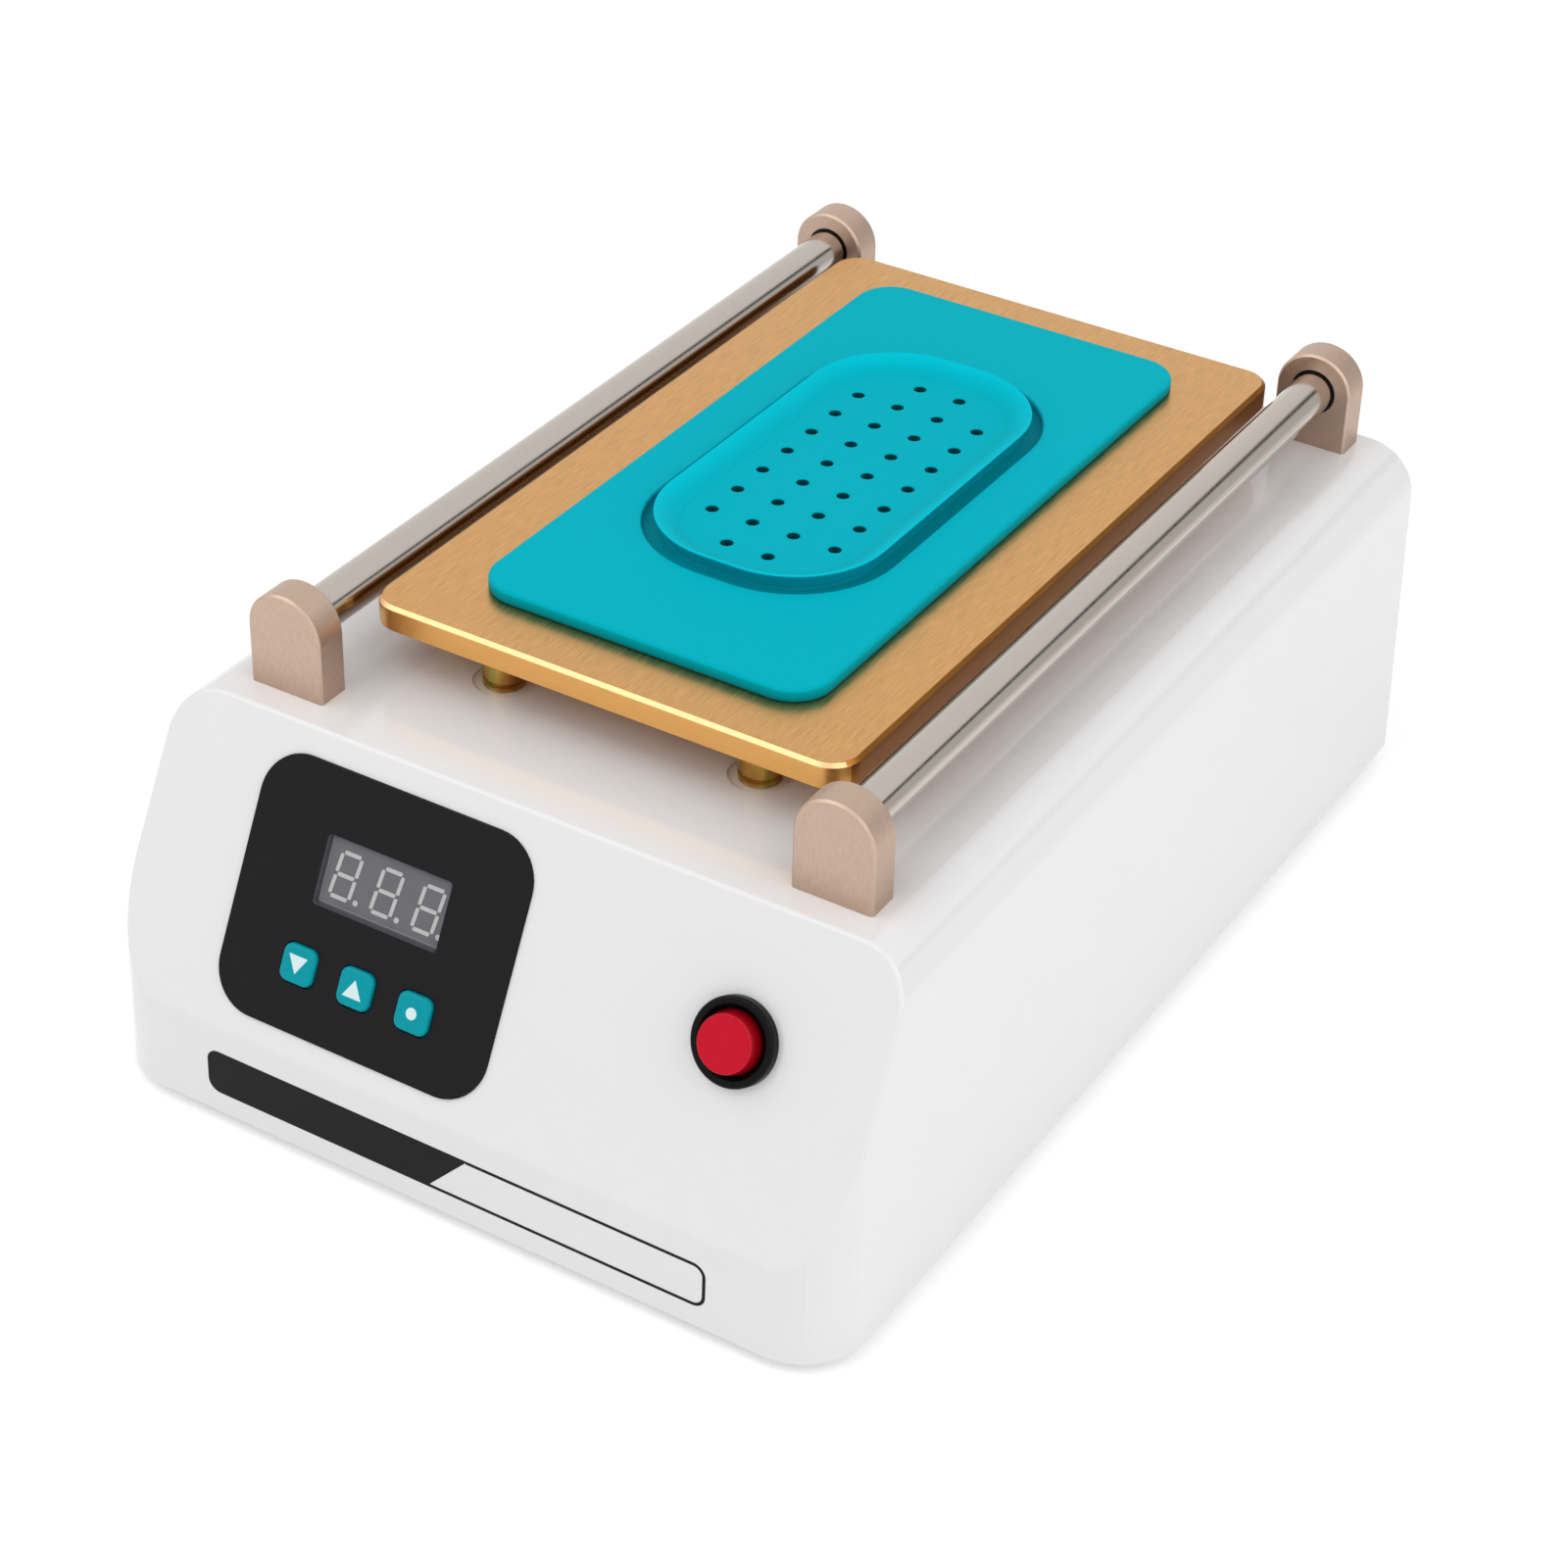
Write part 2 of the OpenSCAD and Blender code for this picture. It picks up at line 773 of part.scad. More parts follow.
// a post: an upright bar with chamfered faces under a round head
module post(x, y, inward) {
    c = post_chamfer;
    w = post_w / 2;
    t = post_t / 2;
    color("#C4AB99")
    difference() {
        union() {
            translate([x, y, top_z])
                linear_extrude(height = axis_rise)
                    polygon([[-w, -t + c], [-w + c, -t], [w - c, -t], [w, -t + c],
                        [w, t - c], [w - c, t], [-w + c, t], [-w, t - c]]);
            translate([x, y, axis_z])
                rotate([90, 0, 0])
                    rotate_extrude($fn = fine)
                        polygon([[0, -t], [w - c, -t], [w, -t + c], [w, t - c], [w - c, t], [0, t]]);
        }
        translate([x, y + inward * (t - bore_depth), axis_z])
            rotate([-90 * inward, 0, 0])
                cylinder(h = bore_depth + over, r = bore_r);
        for (dx = [-post_screw_x, post_screw_x])
            translate([x + dx, y, top_z - over])
                cylinder(h = post_screw_in + over, r = screw_r + seat, $fn = low);
    }
}

module post_front_left() {
    post(-post_x, post_ys[0], 1);
}

module post_front_right() {
    post(post_x, post_ys[0], 1);
}

module post_rear_left() {
    post(-post_x, post_ys[1], -1);
}

module post_rear_right() {
    post(post_x, post_ys[1], -1);
}

// screws from inside the housing that hold the posts
module post_screws() {
    color("#9FA3A6")
    for (x = [-post_x, post_x], dx = [-post_screw_x, post_screw_x], y = post_ys)
        translate([x + dx, y, inner_top])
            screw(body_wall + post_screw_in - post_screw_end);
}

// plain bushes in the blind bores of the posts
module roller_bushes() {
    color("#3A3A3C")
    for (x = [-post_x, post_x], k = [-1, 1])
        translate([x, k > 0 ? rear_post_y + bore_depth : front_post_y - bore_depth, axis_z])
            rotate([90 * k, 0, 0])
                difference() {
                    cylinder(h = bore_depth - bush_sunk, r = bore_r);
                    translate([0, 0, -over])
                        cylinder(h = bore_depth + 2 * over, r = bush_r);
                }
}

// a roller with a journal at each end, turning in two bushes
module roller(x) {
    c = journal_chamfer;
    rc = roller_chamfer;
    end = roller_l + journal_l;
    color("#BDB6B0")
    translate([x, roller_y0, axis_z])
        rotate([-90, 0, 0])
            rotate_extrude()
                polygon([[0, -journal_l], [journal_r - c, -journal_l], [journal_r, -journal_l + c],
                    [journal_r, 0], [roller_r - rc, 0], [roller_r, rc], [roller_r, roller_l - rc],
                    [roller_r - rc, roller_l], [journal_r, roller_l], [journal_r, end - c],
                    [journal_r - c, end], [0, end]]);
}

module roller_left() {
    roller(-post_x);
}

module roller_right() {
    roller(post_x);
}

// the aluminium plate: chamfered top edge, vacuum grooves and threaded holes
module heating_plate() {
    color("#CF9F66")
    translate([0, plate_y, plate_z])
        difference() {
            edge_slab(plate_w, plate_l, plate_r,
                [[0, 0], [0, plate_t - plate_chamfer], [plate_chamfer, plate_t]]);
            for (row = hole_rows)
                translate([row[0] * hole_pitch - groove_w / 2, -row[1] * hole_pitch, plate_t - groove_d])
                    cube([groove_w, 2 * row[1] * hole_pitch, groove_d + over]);
            for (k = [-1:1])
                translate([-1.5 * hole_pitch, 3 * k * hole_pitch - groove_w / 2, plate_t - groove_d])
                    cube([3 * hole_pitch, groove_w, groove_d + over]);
            translate([0, 0, -over])
                cylinder(h = plate_t, r = port_r);
            for (x = [-standoff_x, standoff_x], y = standoff_ys)
                translate([x, y - plate_y, -over])
                    cylinder(h = stud_l + stud_room + over, r = stud_r + seat, $fn = low);
            for (x = [-pad_screw_x, pad_screw_x], y = [-pad_screw_y, pad_screw_y])
                translate([x, y, -over])
                    cylinder(h = pad_screw_in + stud_room + over, r = screw_r + seat, $fn = low);
            translate([sensor_at[0], sensor_at[1], -over])
                cylinder(h = sensor_in + sensor_room + over, r = sensor_r + seat, $fn = low);
        }
}

// four studded standoffs that carry the plate
module plate_standoffs() {
    foot_l = plate_gap + recess_depth;
    color("#A9B06A")
    for (x = [-standoff_x, standoff_x], y = standoff_ys)
        translate([x, y, top_z - recess_depth])
            difference() {
                union() {
                    cylinder(h = foot_l, r = standoff_r);
                    cylinder(h = foot_l + stud_l, r = stud_r, $fn = low);
                }
                translate([0, 0, -over])
                    cylinder(h = standoff_bore + over, r = stud_r + seat, $fn = low);
            }
}

module standoff_screws() {
    color("#9FA3A6")
    for (x = [-standoff_x, standoff_x], y = standoff_ys)
        translate([x, y, inner_top])
            screw(body_wall + standoff_bite, stud_r, standoff_head_r, standoff_head_h);
}

// the suction mat: a moat, a flared lip and rows of holes over the grooves
module silicone_mat() {
    color("#00B4C5")
    translate([0, plate_y, mat_z])
        difference() {
            union() {
                difference() {
                    edge_slab(mat_w, mat_l, mat_r,
                        [[0, 0], [0, mat_t - mat_chamfer], [mat_chamfer, mat_t]]);
                    translate([0, 0, moat_floor])
                        rounded_block(moat_w, moat_l, far, moat_r);
                }
                translate([0, 0, moat_floor - mat_overlap])
                    rounded_block(moat_w - 2 * lip_inner + eps, moat_l - 2 * lip_inner + eps,
                        mat_t - field_drop - moat_floor + mat_overlap, moat_r - lip_inner + eps / 2);
                edge_ring(moat_w, moat_l, moat_r, [[lip_foot, moat_floor - mat_overlap],
                    [lip_foot, moat_floor], [lip_top, mat_t + lip_rise],
                    [lip_top + lip_edge, mat_t + lip_rise], [lip_inner, mat_t - field_drop],
                    [lip_inner, moat_floor - mat_overlap]]);
            }
            for (row = hole_rows, k = [-row[1]:row[1]])
                translate([row[0] * hole_pitch, k * hole_pitch, -over])
                    cylinder(h = mat_t + 2 * over, r = hole_d / 2, $fn = low);
        }
}

// shape shared by the heater pad and the board under it
module under_plate(z, t) {
    translate([0, plate_y, z])
        difference() {
            rounded_block(pad_w, pad_l, t, pad_corner_r);
            translate([0, 0, -over])
                cylinder(h = t + 2 * over, r = centre_hole_r);
            for (x = [-pad_screw_x, pad_screw_x], y = [-pad_screw_y, pad_screw_y])
                translate([x, y, -over])
                    cylinder(h = t + 2 * over, r = screw_r + hole_gap, $fn = low);
            translate([sensor_at[0], sensor_at[1], -over])
                cylinder(h = t + 2 * over, r = sensor_r + hole_gap / 2, $fn = low);
        }
}

module heater_pad() {
    color("#B5562A")
    under_plate(plate_z - pad_t, pad_t);
}

module insulation_board() {
    color("#D9CFAE")
    under_plate(under_z, insulation_t);
}

module insulation_screws() {
    color("#9FA3A6")
    for (x = [-pad_screw_x, pad_screw_x], y = [-pad_screw_y, pad_screw_y])
        translate([x, plate_y + y, under_z])
            screw(plate_z - under_z + pad_screw_in);
}

// thermistor in a flanged barrel, pushed up into the plate
module temperature_sensor() {
    color("#C9CCD0")
    translate([sensor_at[0], plate_y + sensor_at[1], under_z]) {
        cylinder(h = plate_z - under_z + sensor_in, r = sensor_r, $fn = low);
        translate([0, 0, -sensor_flange_t])
            cylinder(h = sensor_flange_t, r = sensor_flange_r, $fn = low);
    }
}

// axial fuse that lies against the insulation board
module thermal_fuse() {
    color("#D8D3C4")
    translate([fuse_at[0], plate_y + fuse_at[1], under_z - fuse_r - seat])
        rotate([-90, 0, 0]) {
            cylinder(h = fuse_l, r = fuse_r, $fn = low);
            translate([0, 0, -fuse_wire_l])
                cylinder(h = fuse_l + 2 * fuse_wire_l, r = fuse_wire_r, $fn = low);
        }
}

// a barb for the hose, standing on its root
module barb() {
    root = barb_r - barb_step;
    rotate_extrude($fn = low)
        polygon(concat([[0, 0], [root, 0]],
            [for (k = [0:2], p = [[root, 1], [barb_r, 1.2]]) [p[0], p[1] + k * barb_pitch]],
            [[root - 0.1, barb_l], [0, barb_l]]));
}

module vacuum_fitting() {
    color("#C8A552")
    translate([0, plate_y, plate_z])
        difference() {
            union() {
                cylinder(h = plate_t - groove_d - port_room, r = port_r - seat);
                translate([0, 0, -hex_h])
                    cylinder(h = hex_h, r = hex_r, $fn = 6);
                translate([0, 0, -hex_h])
                    rotate([180, 0, 0])
                        barb();
            }
            translate([0, 0, -far / 2])
                cylinder(h = far, r = fitting_bore, $fn = low);
        }
}

// a rubber grommet in a hole of the housing top
module grommet(x, y, hole_r, inner_r) {
    lip_r = hole_r + grommet_lip;
    color("#2F2F31")
    translate([x, y, 0])
        rotate_extrude()
            polygon([[inner_r, inner_top - grommet_t], [lip_r, inner_top - grommet_t],
                [lip_r, inner_top], [hole_r, inner_top], [hole_r, top_z], [lip_r, top_z],
                [lip_r - grommet_chamfer, top_z + grommet_t], [inner_r, top_z + grommet_t]]);
}

module hose_grommet() {
    grommet(0, plate_y, grommet_r, hose_r + clear);
}

module lead_grommet() {
    grommet(lead_x, lead_y, lead_grommet_r, lead_hole_r);
}

// points on a smooth curve through p, n steps to each stretch
function curve_point(a, b, c, d, t) = 0.5 * ((2 * b) + (c - a) * t
    + (2 * a - 5 * b + 4 * c - d) * t * t + (3 * b - a - 3 * c + d) * t * t * t);
function curve(p, n) = let (e = len(p) - 1) concat(
    [for (i = [0:e - 1], j = [0:n - 1]) curve_point(i > 0 ? p[i - 1] : 2 * p[0] - p[1], p[i], p[i + 1],
        i < e - 1 ? p[i + 2] : 2 * p[e] - p[e - 1], j / n)], [p[e]]);
function unit(v) = v / norm(v);

// a tube along path, hollow where inner is over 0; side is square to most of the path
module tube(path, r, inner, sides, side) {
    last = len(path) - 1;
    n = sides;
    dirs = [for (i = [0:last]) unit(path[min(i + 1, last)] - path[max(i - 1, 0)])];
    us = [for (d = dirs) unit(cross(d, side))];
    outer_pts = [for (i = [0:last], k = [0:n - 1])
        path[i] + r * (us[i] * cos(360 * k / n) + cross(dirs[i], us[i]) * sin(360 * k / n))];
    inner_pts = [for (i = [0:last], k = [0:n - 1])
        path[i] + inner * (us[i] * cos(360 * k / n) + cross(dirs[i], us[i]) * sin(360 * k / n))];
    m = (last + 1) * n;
    skin = [for (i = [0:last - 1], k = [0:n - 1])
        [i * n + k, (i + 1) * n + k, (i + 1) * n + (k + 1) % n, i * n + (k + 1) % n]];
    e = m - n;
    if (inner > 0)
        polyhedron(concat(outer_pts, inner_pts), concat(skin,
            [for (f = skin) [f[3] + m, f[2] + m, f[1] + m, f[0] + m]],
            [for (k = [0:n - 1]) [k, (k + 1) % n, m + (k + 1) % n, m + k]],
            [for (k = [0:n - 1]) [e + k, e + m + k, e + m + (k + 1) % n, e + (k + 1) % n]]));
    else
        polyhedron(outer_pts, concat(skin, [[for (k = [0:n - 1]) k]],
            [[for (k = [n - 1:-1:0]) last * n + k]]));
}

module vacuum_hose() {
    color("#D5DADD")
    tube(curve(hose_path, 2), hose_r, hose_inner, hose_sides, [0, 1, 0]);
}

// the pad's two leads: back from its rear edge, down the grommet and round to the terminals
function lead_path(k) = let (x = lead_x + k * lead_dx, y = plate_y + pad_l / 2 + seat,
    tx = term_x + k * term_pitch / 2, ty = term_y + term_l / 2 + seat, tz = parts_z + term_wire_z) [
    [x, y, plate_z - 1.3], [x, y + lead_back / 2, plate_z - 1.6],
    [x, lead_y - 0.7, plate_z - lead_drop / 2], [x, lead_y, plate_z - lead_drop],
    [x, lead_y, plate_z - 2 * lead_drop], [x + 1, lead_y + 2, plate_z - 4 * lead_drop],
    [tx - 3, lead_y + 3, tz + 3 * lead_drop], [tx, lead_y + 3, tz + 1.5 * lead_drop],
    [tx, lead_y + 0.5, tz + lead_drop / 2], [tx, ty + 4.5, tz], [tx, ty, tz]];

module heater_leads() {
    color("#C9352B")
    for (k = [-1, 1])
        tube(curve(lead_path(k), 2), lead_r, 0, lead_sides, [1, 0, 0]);
}

// the black fascia, let into the sloped face
module control_panel() {
    color("#252428")
    difference() {
        on_face(panel_x, panel_up, -panel_seat)
            rounded_block(panel_w, panel_h, panel_t, panel_r);
        on_face(display_x, display_up, -panel_t)
            rounded_block(display_w, display_h, 5, display_r);
        for (x = key_xs)
            on_face(x, key_row, -panel_t)
                rounded_block(key_size + 2 * clear, key_size + 2 * clear, 5, key_r + clear);
    }
}

module display_module() {
    color("#55555A")
    on_face(display_x, display_up, board_top)
        rounded_block(display_w + 1, display_h + 1, board_depth, display_r);
}

// one bar of a digit, from a to b, leaning by the slant
module segment(a, b) {
    d = unit(b - a);
    side = [-d[1], d[0]] * segment_w / 2;
    p = a + d * segment_gap;
    q = b - d * segment_gap;
    tip = d * segment_w / 2;
    polygon([for (v = [p, p + tip + side, q - tip + side, q, q - tip - side, p + tip - side])
        [v[0] + v[1] * tan(digit_slant), v[1]]]);
}

// three seven-bar digits, each with its point
module display_segments() {
    w = (digit_w - segment_w) / 2;
    h = (digit_h - segment_w) / 2;
    color("#A9A9A9")
    for (k = [-1:1])
        on_face(display_x + digit_right + k * digit_pitch, display_up, display_face)
            linear_extrude(height = segment_t) {
                for (y = [-h, 0, h])
                    segment([-w, y], [w, y]);
                for (x = [-w, w], y = [0, h])
                    segment([x, y - h], [x, y]);
                translate([digit_w / 2 + point_right, -digit_h / 2 + point_r])
                    circle(r = point_r, $fn = low);
            }
}

module controller_board() {
    color("#1E5A33")
    difference() {
        union() {
            on_face(panel_x, panel_up, board_top - board_t)
                rounded_block(panel_w + board_wider, panel_h - board_shorter, board_t, board_r);
            for (p = board_parts)
                on_face(panel_x + p[0], panel_up + p[1], board_top - board_t - p[4])
                    rounded_block(p[2], p[3], p[4] + board_t / 2, part_r);
        }
        for (x = board_boss_xs, up = board_boss_ups)
            on_face(x, up, board_top - board_t - over)
                cylinder(h = board_t + 2 * over, r = screw_r + hole_gap, $fn = low);
    }
}

module board_screws() {
    color("#9FA3A6")
    for (x = board_boss_xs, up = board_boss_ups)
        on_face(x, up, board_top - board_t)
            screw(board_t + board_bite);
}

module tact_switches() {
    color("#333336")
    for (x = key_xs)
        on_face(x, key_row, board_top) {
            rounded_block(tact_w, tact_w, tact_h, tact_r);
            cylinder(h = plunger_top - board_top, r = plunger_r, $fn = low);
        }
}

// a key cap: the cap, the flange that keeps it in and the stem over its switch
module key(x) {
    h = key_top - flange_top + key_overlap;
    color("#0AA5AE") {
        on_face(x, key_row, flange_top - key_overlap)
            edge_slab(key_size, key_size, key_r, [[0, 0], [0, h - key_chamfer], [key_chamfer, h]]);
        on_face(x, key_row, flange_low)
            rounded_block(key_size + 2 * key_flange, key_size + 2 * key_flange, key_flange_t, key_r);
        on_face(x, key_row, stem_low)
            cylinder(h = key_stem_l + key_overlap, r = key_stem_r, $fn = low);
    }
}

module key_down() {
    key(key_xs[0]);
}

module key_up() {
    key(key_xs[1]);
}

module key_set() {
    key(key_xs[2]);
}

module button_bezel() {
    lip_r = cap_r + clear;
    well_r = lip_r + collar_w;
    color("#1C1C1E")
    on_face(button_x, button_up)
        rotate_extrude()
            polygon([[lip_r, lip_low], [lip_r, bezel_h - bezel_lip], [lip_r + bezel_lip, bezel_h],
                [bezel_r - bezel_edge, bezel_h], [bezel_r, bezel_h - bezel_edge], [bezel_r, 0],
                [barrel_r, 0], [barrel_r, -barrel_l], [0, -barrel_l], [0, well_low], [well_r, well_low],
                [well_r, lip_low]]);
}

module push_button() {
    collar_r = cap_r + collar_w;
    color("#D01C30")
    on_face(button_x, button_up)
        rotate_extrude()
            polygon([[0, cap_low], [collar_r, cap_low], [collar_r, lip_low - clear],
                [cap_r, lip_low - clear], [cap_r, cap_top - cap_chamfer],
                [cap_r - cap_chamfer, cap_top], [0, cap_top]]);
}

module button_nut() {
    color("#2B2B2D")
    on_face(button_x, button_up, -body_wall - nut_h)
        difference() {
            cylinder(h = nut_h, r = nut_r, $fn = 6);
            translate([0, 0, -over])
                cylinder(h = nut_h + 2 * over, r = barrel_r + seat);
        }
}

module button_terminals() {
    color("#C8A552")
    for (x = [-button_tab_x, button_tab_x])
        on_face(button_x + x, button_up, -barrel_l - button_tab[2])
            translate([-button_tab[0] / 2, -button_tab[1] / 2, 0])
                cube(button_tab);
}

module inlet_socket() {
    w = cavity_w / 2;
    h = cavity_h / 2;
    color("#202022")
    on_back(inlet_x)
        difference() {
            union() {
                rounded_block(inlet_flange[0], inlet_flange[1], inlet_flange[2], inlet_flange_r);
                translate([0, 0, -inlet_body[2]])
                    rounded_block(inlet_body[0], inlet_body[1], inlet_body[2] + over, inlet_body_r);
            }
            translate([0, 0, cavity_low])
                linear_extrude(height = far)
                    polygon([[-w, -h], [w, -h], [w, h - cavity_cut], [w - cavity_cut, h],
                        [cavity_cut - w, h], [-w, h - cavity_cut]]);
            for (p = blade_at)
                translate([p[0] - blade_w / 2, p[1] - blade_h / 2, -far / 2])
                    cube([blade_w, blade_h, far]);
            for (x = [-inlet_screw_x, inlet_screw_x])
                translate([x, 0, -over]) {
                    cylinder(h = far, r = screw_r + hole_gap, $fn = low);
                    translate([0, 0, inlet_web + over])
                        cylinder(h = far, r = screw_head_r + hole_gap, $fn = low);
                }
        }
}

module inlet_pins() {
    color("#C9CCD0")
    on_back(inlet_x)
        for (p = blade_at)
            translate([p[0], p[1], 0]) {
                translate([-blade_w / 2, -blade_h / 2, -inlet_body[2]])
                    cube([blade_w, blade_h, inlet_body[2]]);
                translate([-tab_t / 2, -blade_h / 2, -inlet_body[2] - tab_l])
                    cube([tab_t, blade_h, tab_l + over]);
            }
}

module inlet_screws() {
    color("#9FA3A6")
    for (dx = [-inlet_screw_x, inlet_screw_x])
        on_back(inlet_x + dx)
            translate([0, 0, inlet_web])
                rotate([180, 0, 0])
                    screw(inlet_web + body_wall + inlet_bite,
                        head_h = inlet_flange[2] - inlet_web - inlet_head_gap);
}

module switch_frame() {
    color("#242426")
    on_back(switch_x)
        difference() {
            union() {
                rounded_block(frame_flange[0], frame_flange[1], frame_flange[2], frame_flange_r);
                translate([0, 0, -frame_body[2]])
                    rounded_block(frame_body[0], frame_body[1], frame_body[2] + over, frame_body_r);
            }
            translate([0, 0, -pocket_floor])
                rounded_block(rocker_w + 2 * clear, 2 * (rocker_r + clear), far, part_r);
            translate([0, 0, -pivot_depth])
                rotate([0, 90, 0])
                    cylinder(h = rocker_w + 2 * rocker_pin + hole_gap, r = rocker_pin + run, center = true);
        }
}

// a rocker with a shallow V face on two stub pins, at rest with its upper end out
module power_rocker() {
    rise = rocker_dip + rocker_r * tan(rocker_tilt);
    color("#1D1D1F")
    on_back(switch_x)
        translate([0, 0, -pivot_depth])
            rotate([rocker_tilt, 0, 0]) {
                rotate([90, 0, 90])
                    linear_extrude(height = rocker_w, center = true)
                        intersection() {
                            circle(r = rocker_r);
                            polygon([[-rocker_r, rocker_low], [rocker_r, rocker_low], [rocker_r, rise],
                                [0, rocker_dip], [-rocker_r, rise]]);
                        }
                rotate([0, 90, 0])
                    cylinder(h = rocker_w + 2 * rocker_pin, r = rocker_pin, center = true);
            }
}

module switch_terminals() {
    color("#C8A552")
    for (y = [-switch_tab_y, switch_tab_y])
        on_back(switch_x)
            translate([-switch_tab[0] / 2, y - switch_tab[1] / 2, -frame_body[2] - switch_tab[2]])
                cube(switch_tab);
}

// moves its children onto the mains board, x and y from its front left screw
module on_board(at) {
    translate([board_xs[0] + at[0], board_ys[0] + at[1], parts_z])
        children();
}

// the mains board on its spacers
module power_board() {
    w = board_span[0] + 2 * board_edge;
    l = board_span[1] + board_edge + board_tail;
    color("#2C6B3F")
    on_board([0, 0])
        difference() {
            translate([w / 2 - board_edge, l / 2 - board_edge, -power_board_t])
                rounded_block(w, l, power_board_t, board_r);
            for (x = [0, board_span[0]], y = [0, board_span[1]])
                translate([x, y, -power_board_t - over])
                    cylinder(h = power_board_t + 2 * over, r = screw_r + hole_gap, $fn = low);
        }
}

module board_spacers() {
    color("#C8A552")
    for (x = board_xs, y = board_ys)
        translate([x, y, floor_z])
            difference() {
                cylinder(h = spacer_h, r = spacer_r, $fn = 6);
                translate([0, 0, -over])
                    cylinder(h = spacer_h + 2 * over, r = screw_r + seat, $fn = low);
            }
}

module spacer_screws() {
    color("#9FA3A6")
    for (x = board_xs, y = board_ys) {
        translate([x, y, base_z])
            screw(base_t + spacer_bite);
        translate([x, y, parts_z])
            rotate([180, 0, 0])
                screw(power_board_t + spacer_bite);
    }
}

// a transformer: an iron core round a wound bobbin
module transformer() {
    color("#C7A13A")
    on_board(coil_at) {
        translate([0, 0, coil_lift])
            rounded_block(coil_core[0], coil_core[1], coil_core[2], part_r);
        rounded_block(coil_bobbin[0], coil_bobbin[1], coil_bobbin[2], 5);
        rounded_block(coil_foot[0], coil_foot[1], coil_foot[2], 1);
    }
}

module capacitors() {
    color("#30343C")
    for (c = can_list) {
        r = c[2];
        h = c[3];
        on_board([c[0], c[1]])
            rotate_extrude()
                polygon([[0, 0], [r - can_groove, 0], [r - can_groove, 1.5], [r, 2], [r, h - can_edge],
                    [r - can_edge, h], [0, h]]);
    }
}

module relay() {
    color("#1F4FA0")
    on_board(relay_at)
        rounded_block(relay_size[0], relay_size[1], relay_size[2], relay_r);
}

// a finned extrusion that cools the heater's switching device
module heat_sink() {
    w = (fin_count - 1) * fin_pitch + fin_t;
    color("#2E2F31")
    on_board([sink_at[0] - w / 2, sink_at[1]])
        linear_extrude(height = sink_h) {
            square([w, sink_back_t]);
            for (i = [0:fin_count - 1])
                translate([i * fin_pitch, 0])
                    square([fin_t, fin_l]);
        }
}

// a three-way block whose wires enter from the back
module terminal_block() {
    w = 3 * term_pitch;
    color("#3C7D4B")
    on_board([term_at[0] + term_pitch / 2, term_at[1]])
        difference() {
            translate([-w / 2, -term_l / 2, 0])
                cube([w, term_l, term_h]);
            for (k = [-1:1])
                translate([k * term_pitch, 0, term_h - term_screw_d])
                    cylinder(h = far, r = term_screw_r, $fn = low);
        }
}

// a saddle that clamps the motor to the base plate
module pump_bracket() {
    z = pump_z - floor_z;
    low_x = bracket_web[0] / 2;
    high_x = bracket_web[1] / 2;
    high_z = bracket_web_in - motor_r;
    color("#6F7377")
    translate([pump_x, pump_y + motor_y + bracket_l / 2, pump_z])
        rotate([90, 0, 0])
            difference() {
                linear_extrude(height = bracket_l)
                    difference() {
                        union() {
                            circle(r = motor_r + bracket_wall);
                            translate([-bracket_foot[0] / 2, -z])
                                square(bracket_foot);
                            polygon([[-low_x, -z], [low_x, -z], [high_x, high_z], [-high_x, high_z]]);
                        }
                        circle(r = motor_r + seat);
                    }
                for (x = [-bracket_screw_x, bracket_screw_x])
                    translate([x, 0, bracket_l / 2])
                        rotate([90, 0, 0])
                            cylinder(h = far, r = screw_r + hole_gap, $fn = low);
            }
}

module bracket_screws() {
    color("#9FA3A6")
    for (x = [-bracket_screw_x, bracket_screw_x])
        translate([pump_x + x, pump_y + motor_y, floor_z + bracket_foot[1]])
            rotate([180, 0, 0])
                screw(bracket_foot[1] + base_t + bracket_screw_end);
}

module pump_motor() {
    e = motor_edge;
    color("#B9BDC1")
    translate([pump_x, pump_y + head_l / 2, pump_z])
        rotate([-90, 0, 0]) {
            rotate_extrude()
                polygon([[0, 0], [motor_r - e, 0], [motor_r, e], [motor_r, motor_l - e],
                    [motor_r - e, motor_l], [bearing_r, motor_l], [bearing_r, motor_l + bearing_h],
                    [0, motor_l + bearing_h]]);
            for (x = [-motor_tab_x, motor_tab_x])
                translate([x - motor_tab[0] / 2, -motor_tab[1] / 2, motor_l - over])
                    cube(motor_tab + [0, 0, over]);
        }
}

// the diaphragm head with a suction barb on one side and its outlet on the other
module pump_head() {
    color("#2B2B2E")
    translate([pump_x, pump_y, pump_z])
        difference() {
            union() {
                rotate([90, 0, 0])
                    translate([0, 0, -head_l / 2])
                        rounded_block(head_w, head_h, head_l - cover_t, head_r);
                rotate([90, 0, 0])
                    translate([0, 0, head_l / 2 - cover_t])
                        rounded_block(head_w - 1, head_h - 1, cover_t, head_r);
                for (k = [-1, 1])
                    translate([k * (head_w / 2 - over), 0, nozzle_up])
                        rotate([0, 90 * k, 0]) {
                            cylinder(h = nozzle_l + over, r = nozzle_r, $fn = low);
                            translate([0, 0, nozzle_l + over])
                                barb();
                        }
            }
            for (x = [-head_screw_x, head_screw_x], z = [-head_screw_z, head_screw_z])
                translate([x, -head_l / 2 - over, z])
                    rotate([-90, 0, 0])
                        cylinder(h = head_screw_l + head_screw_room + over, r = screw_r + seat, $fn = low);
        }
}

module pump_screws() {
    color("#9FA3A6")
    for (x = [-head_screw_x, head_screw_x], z = [-head_screw_z, head_screw_z])
        translate([pump_x + x, pump_y - head_l / 2, pump_z + z])
            rotate([-90, 0, 0])
                screw(head_screw_l);
}

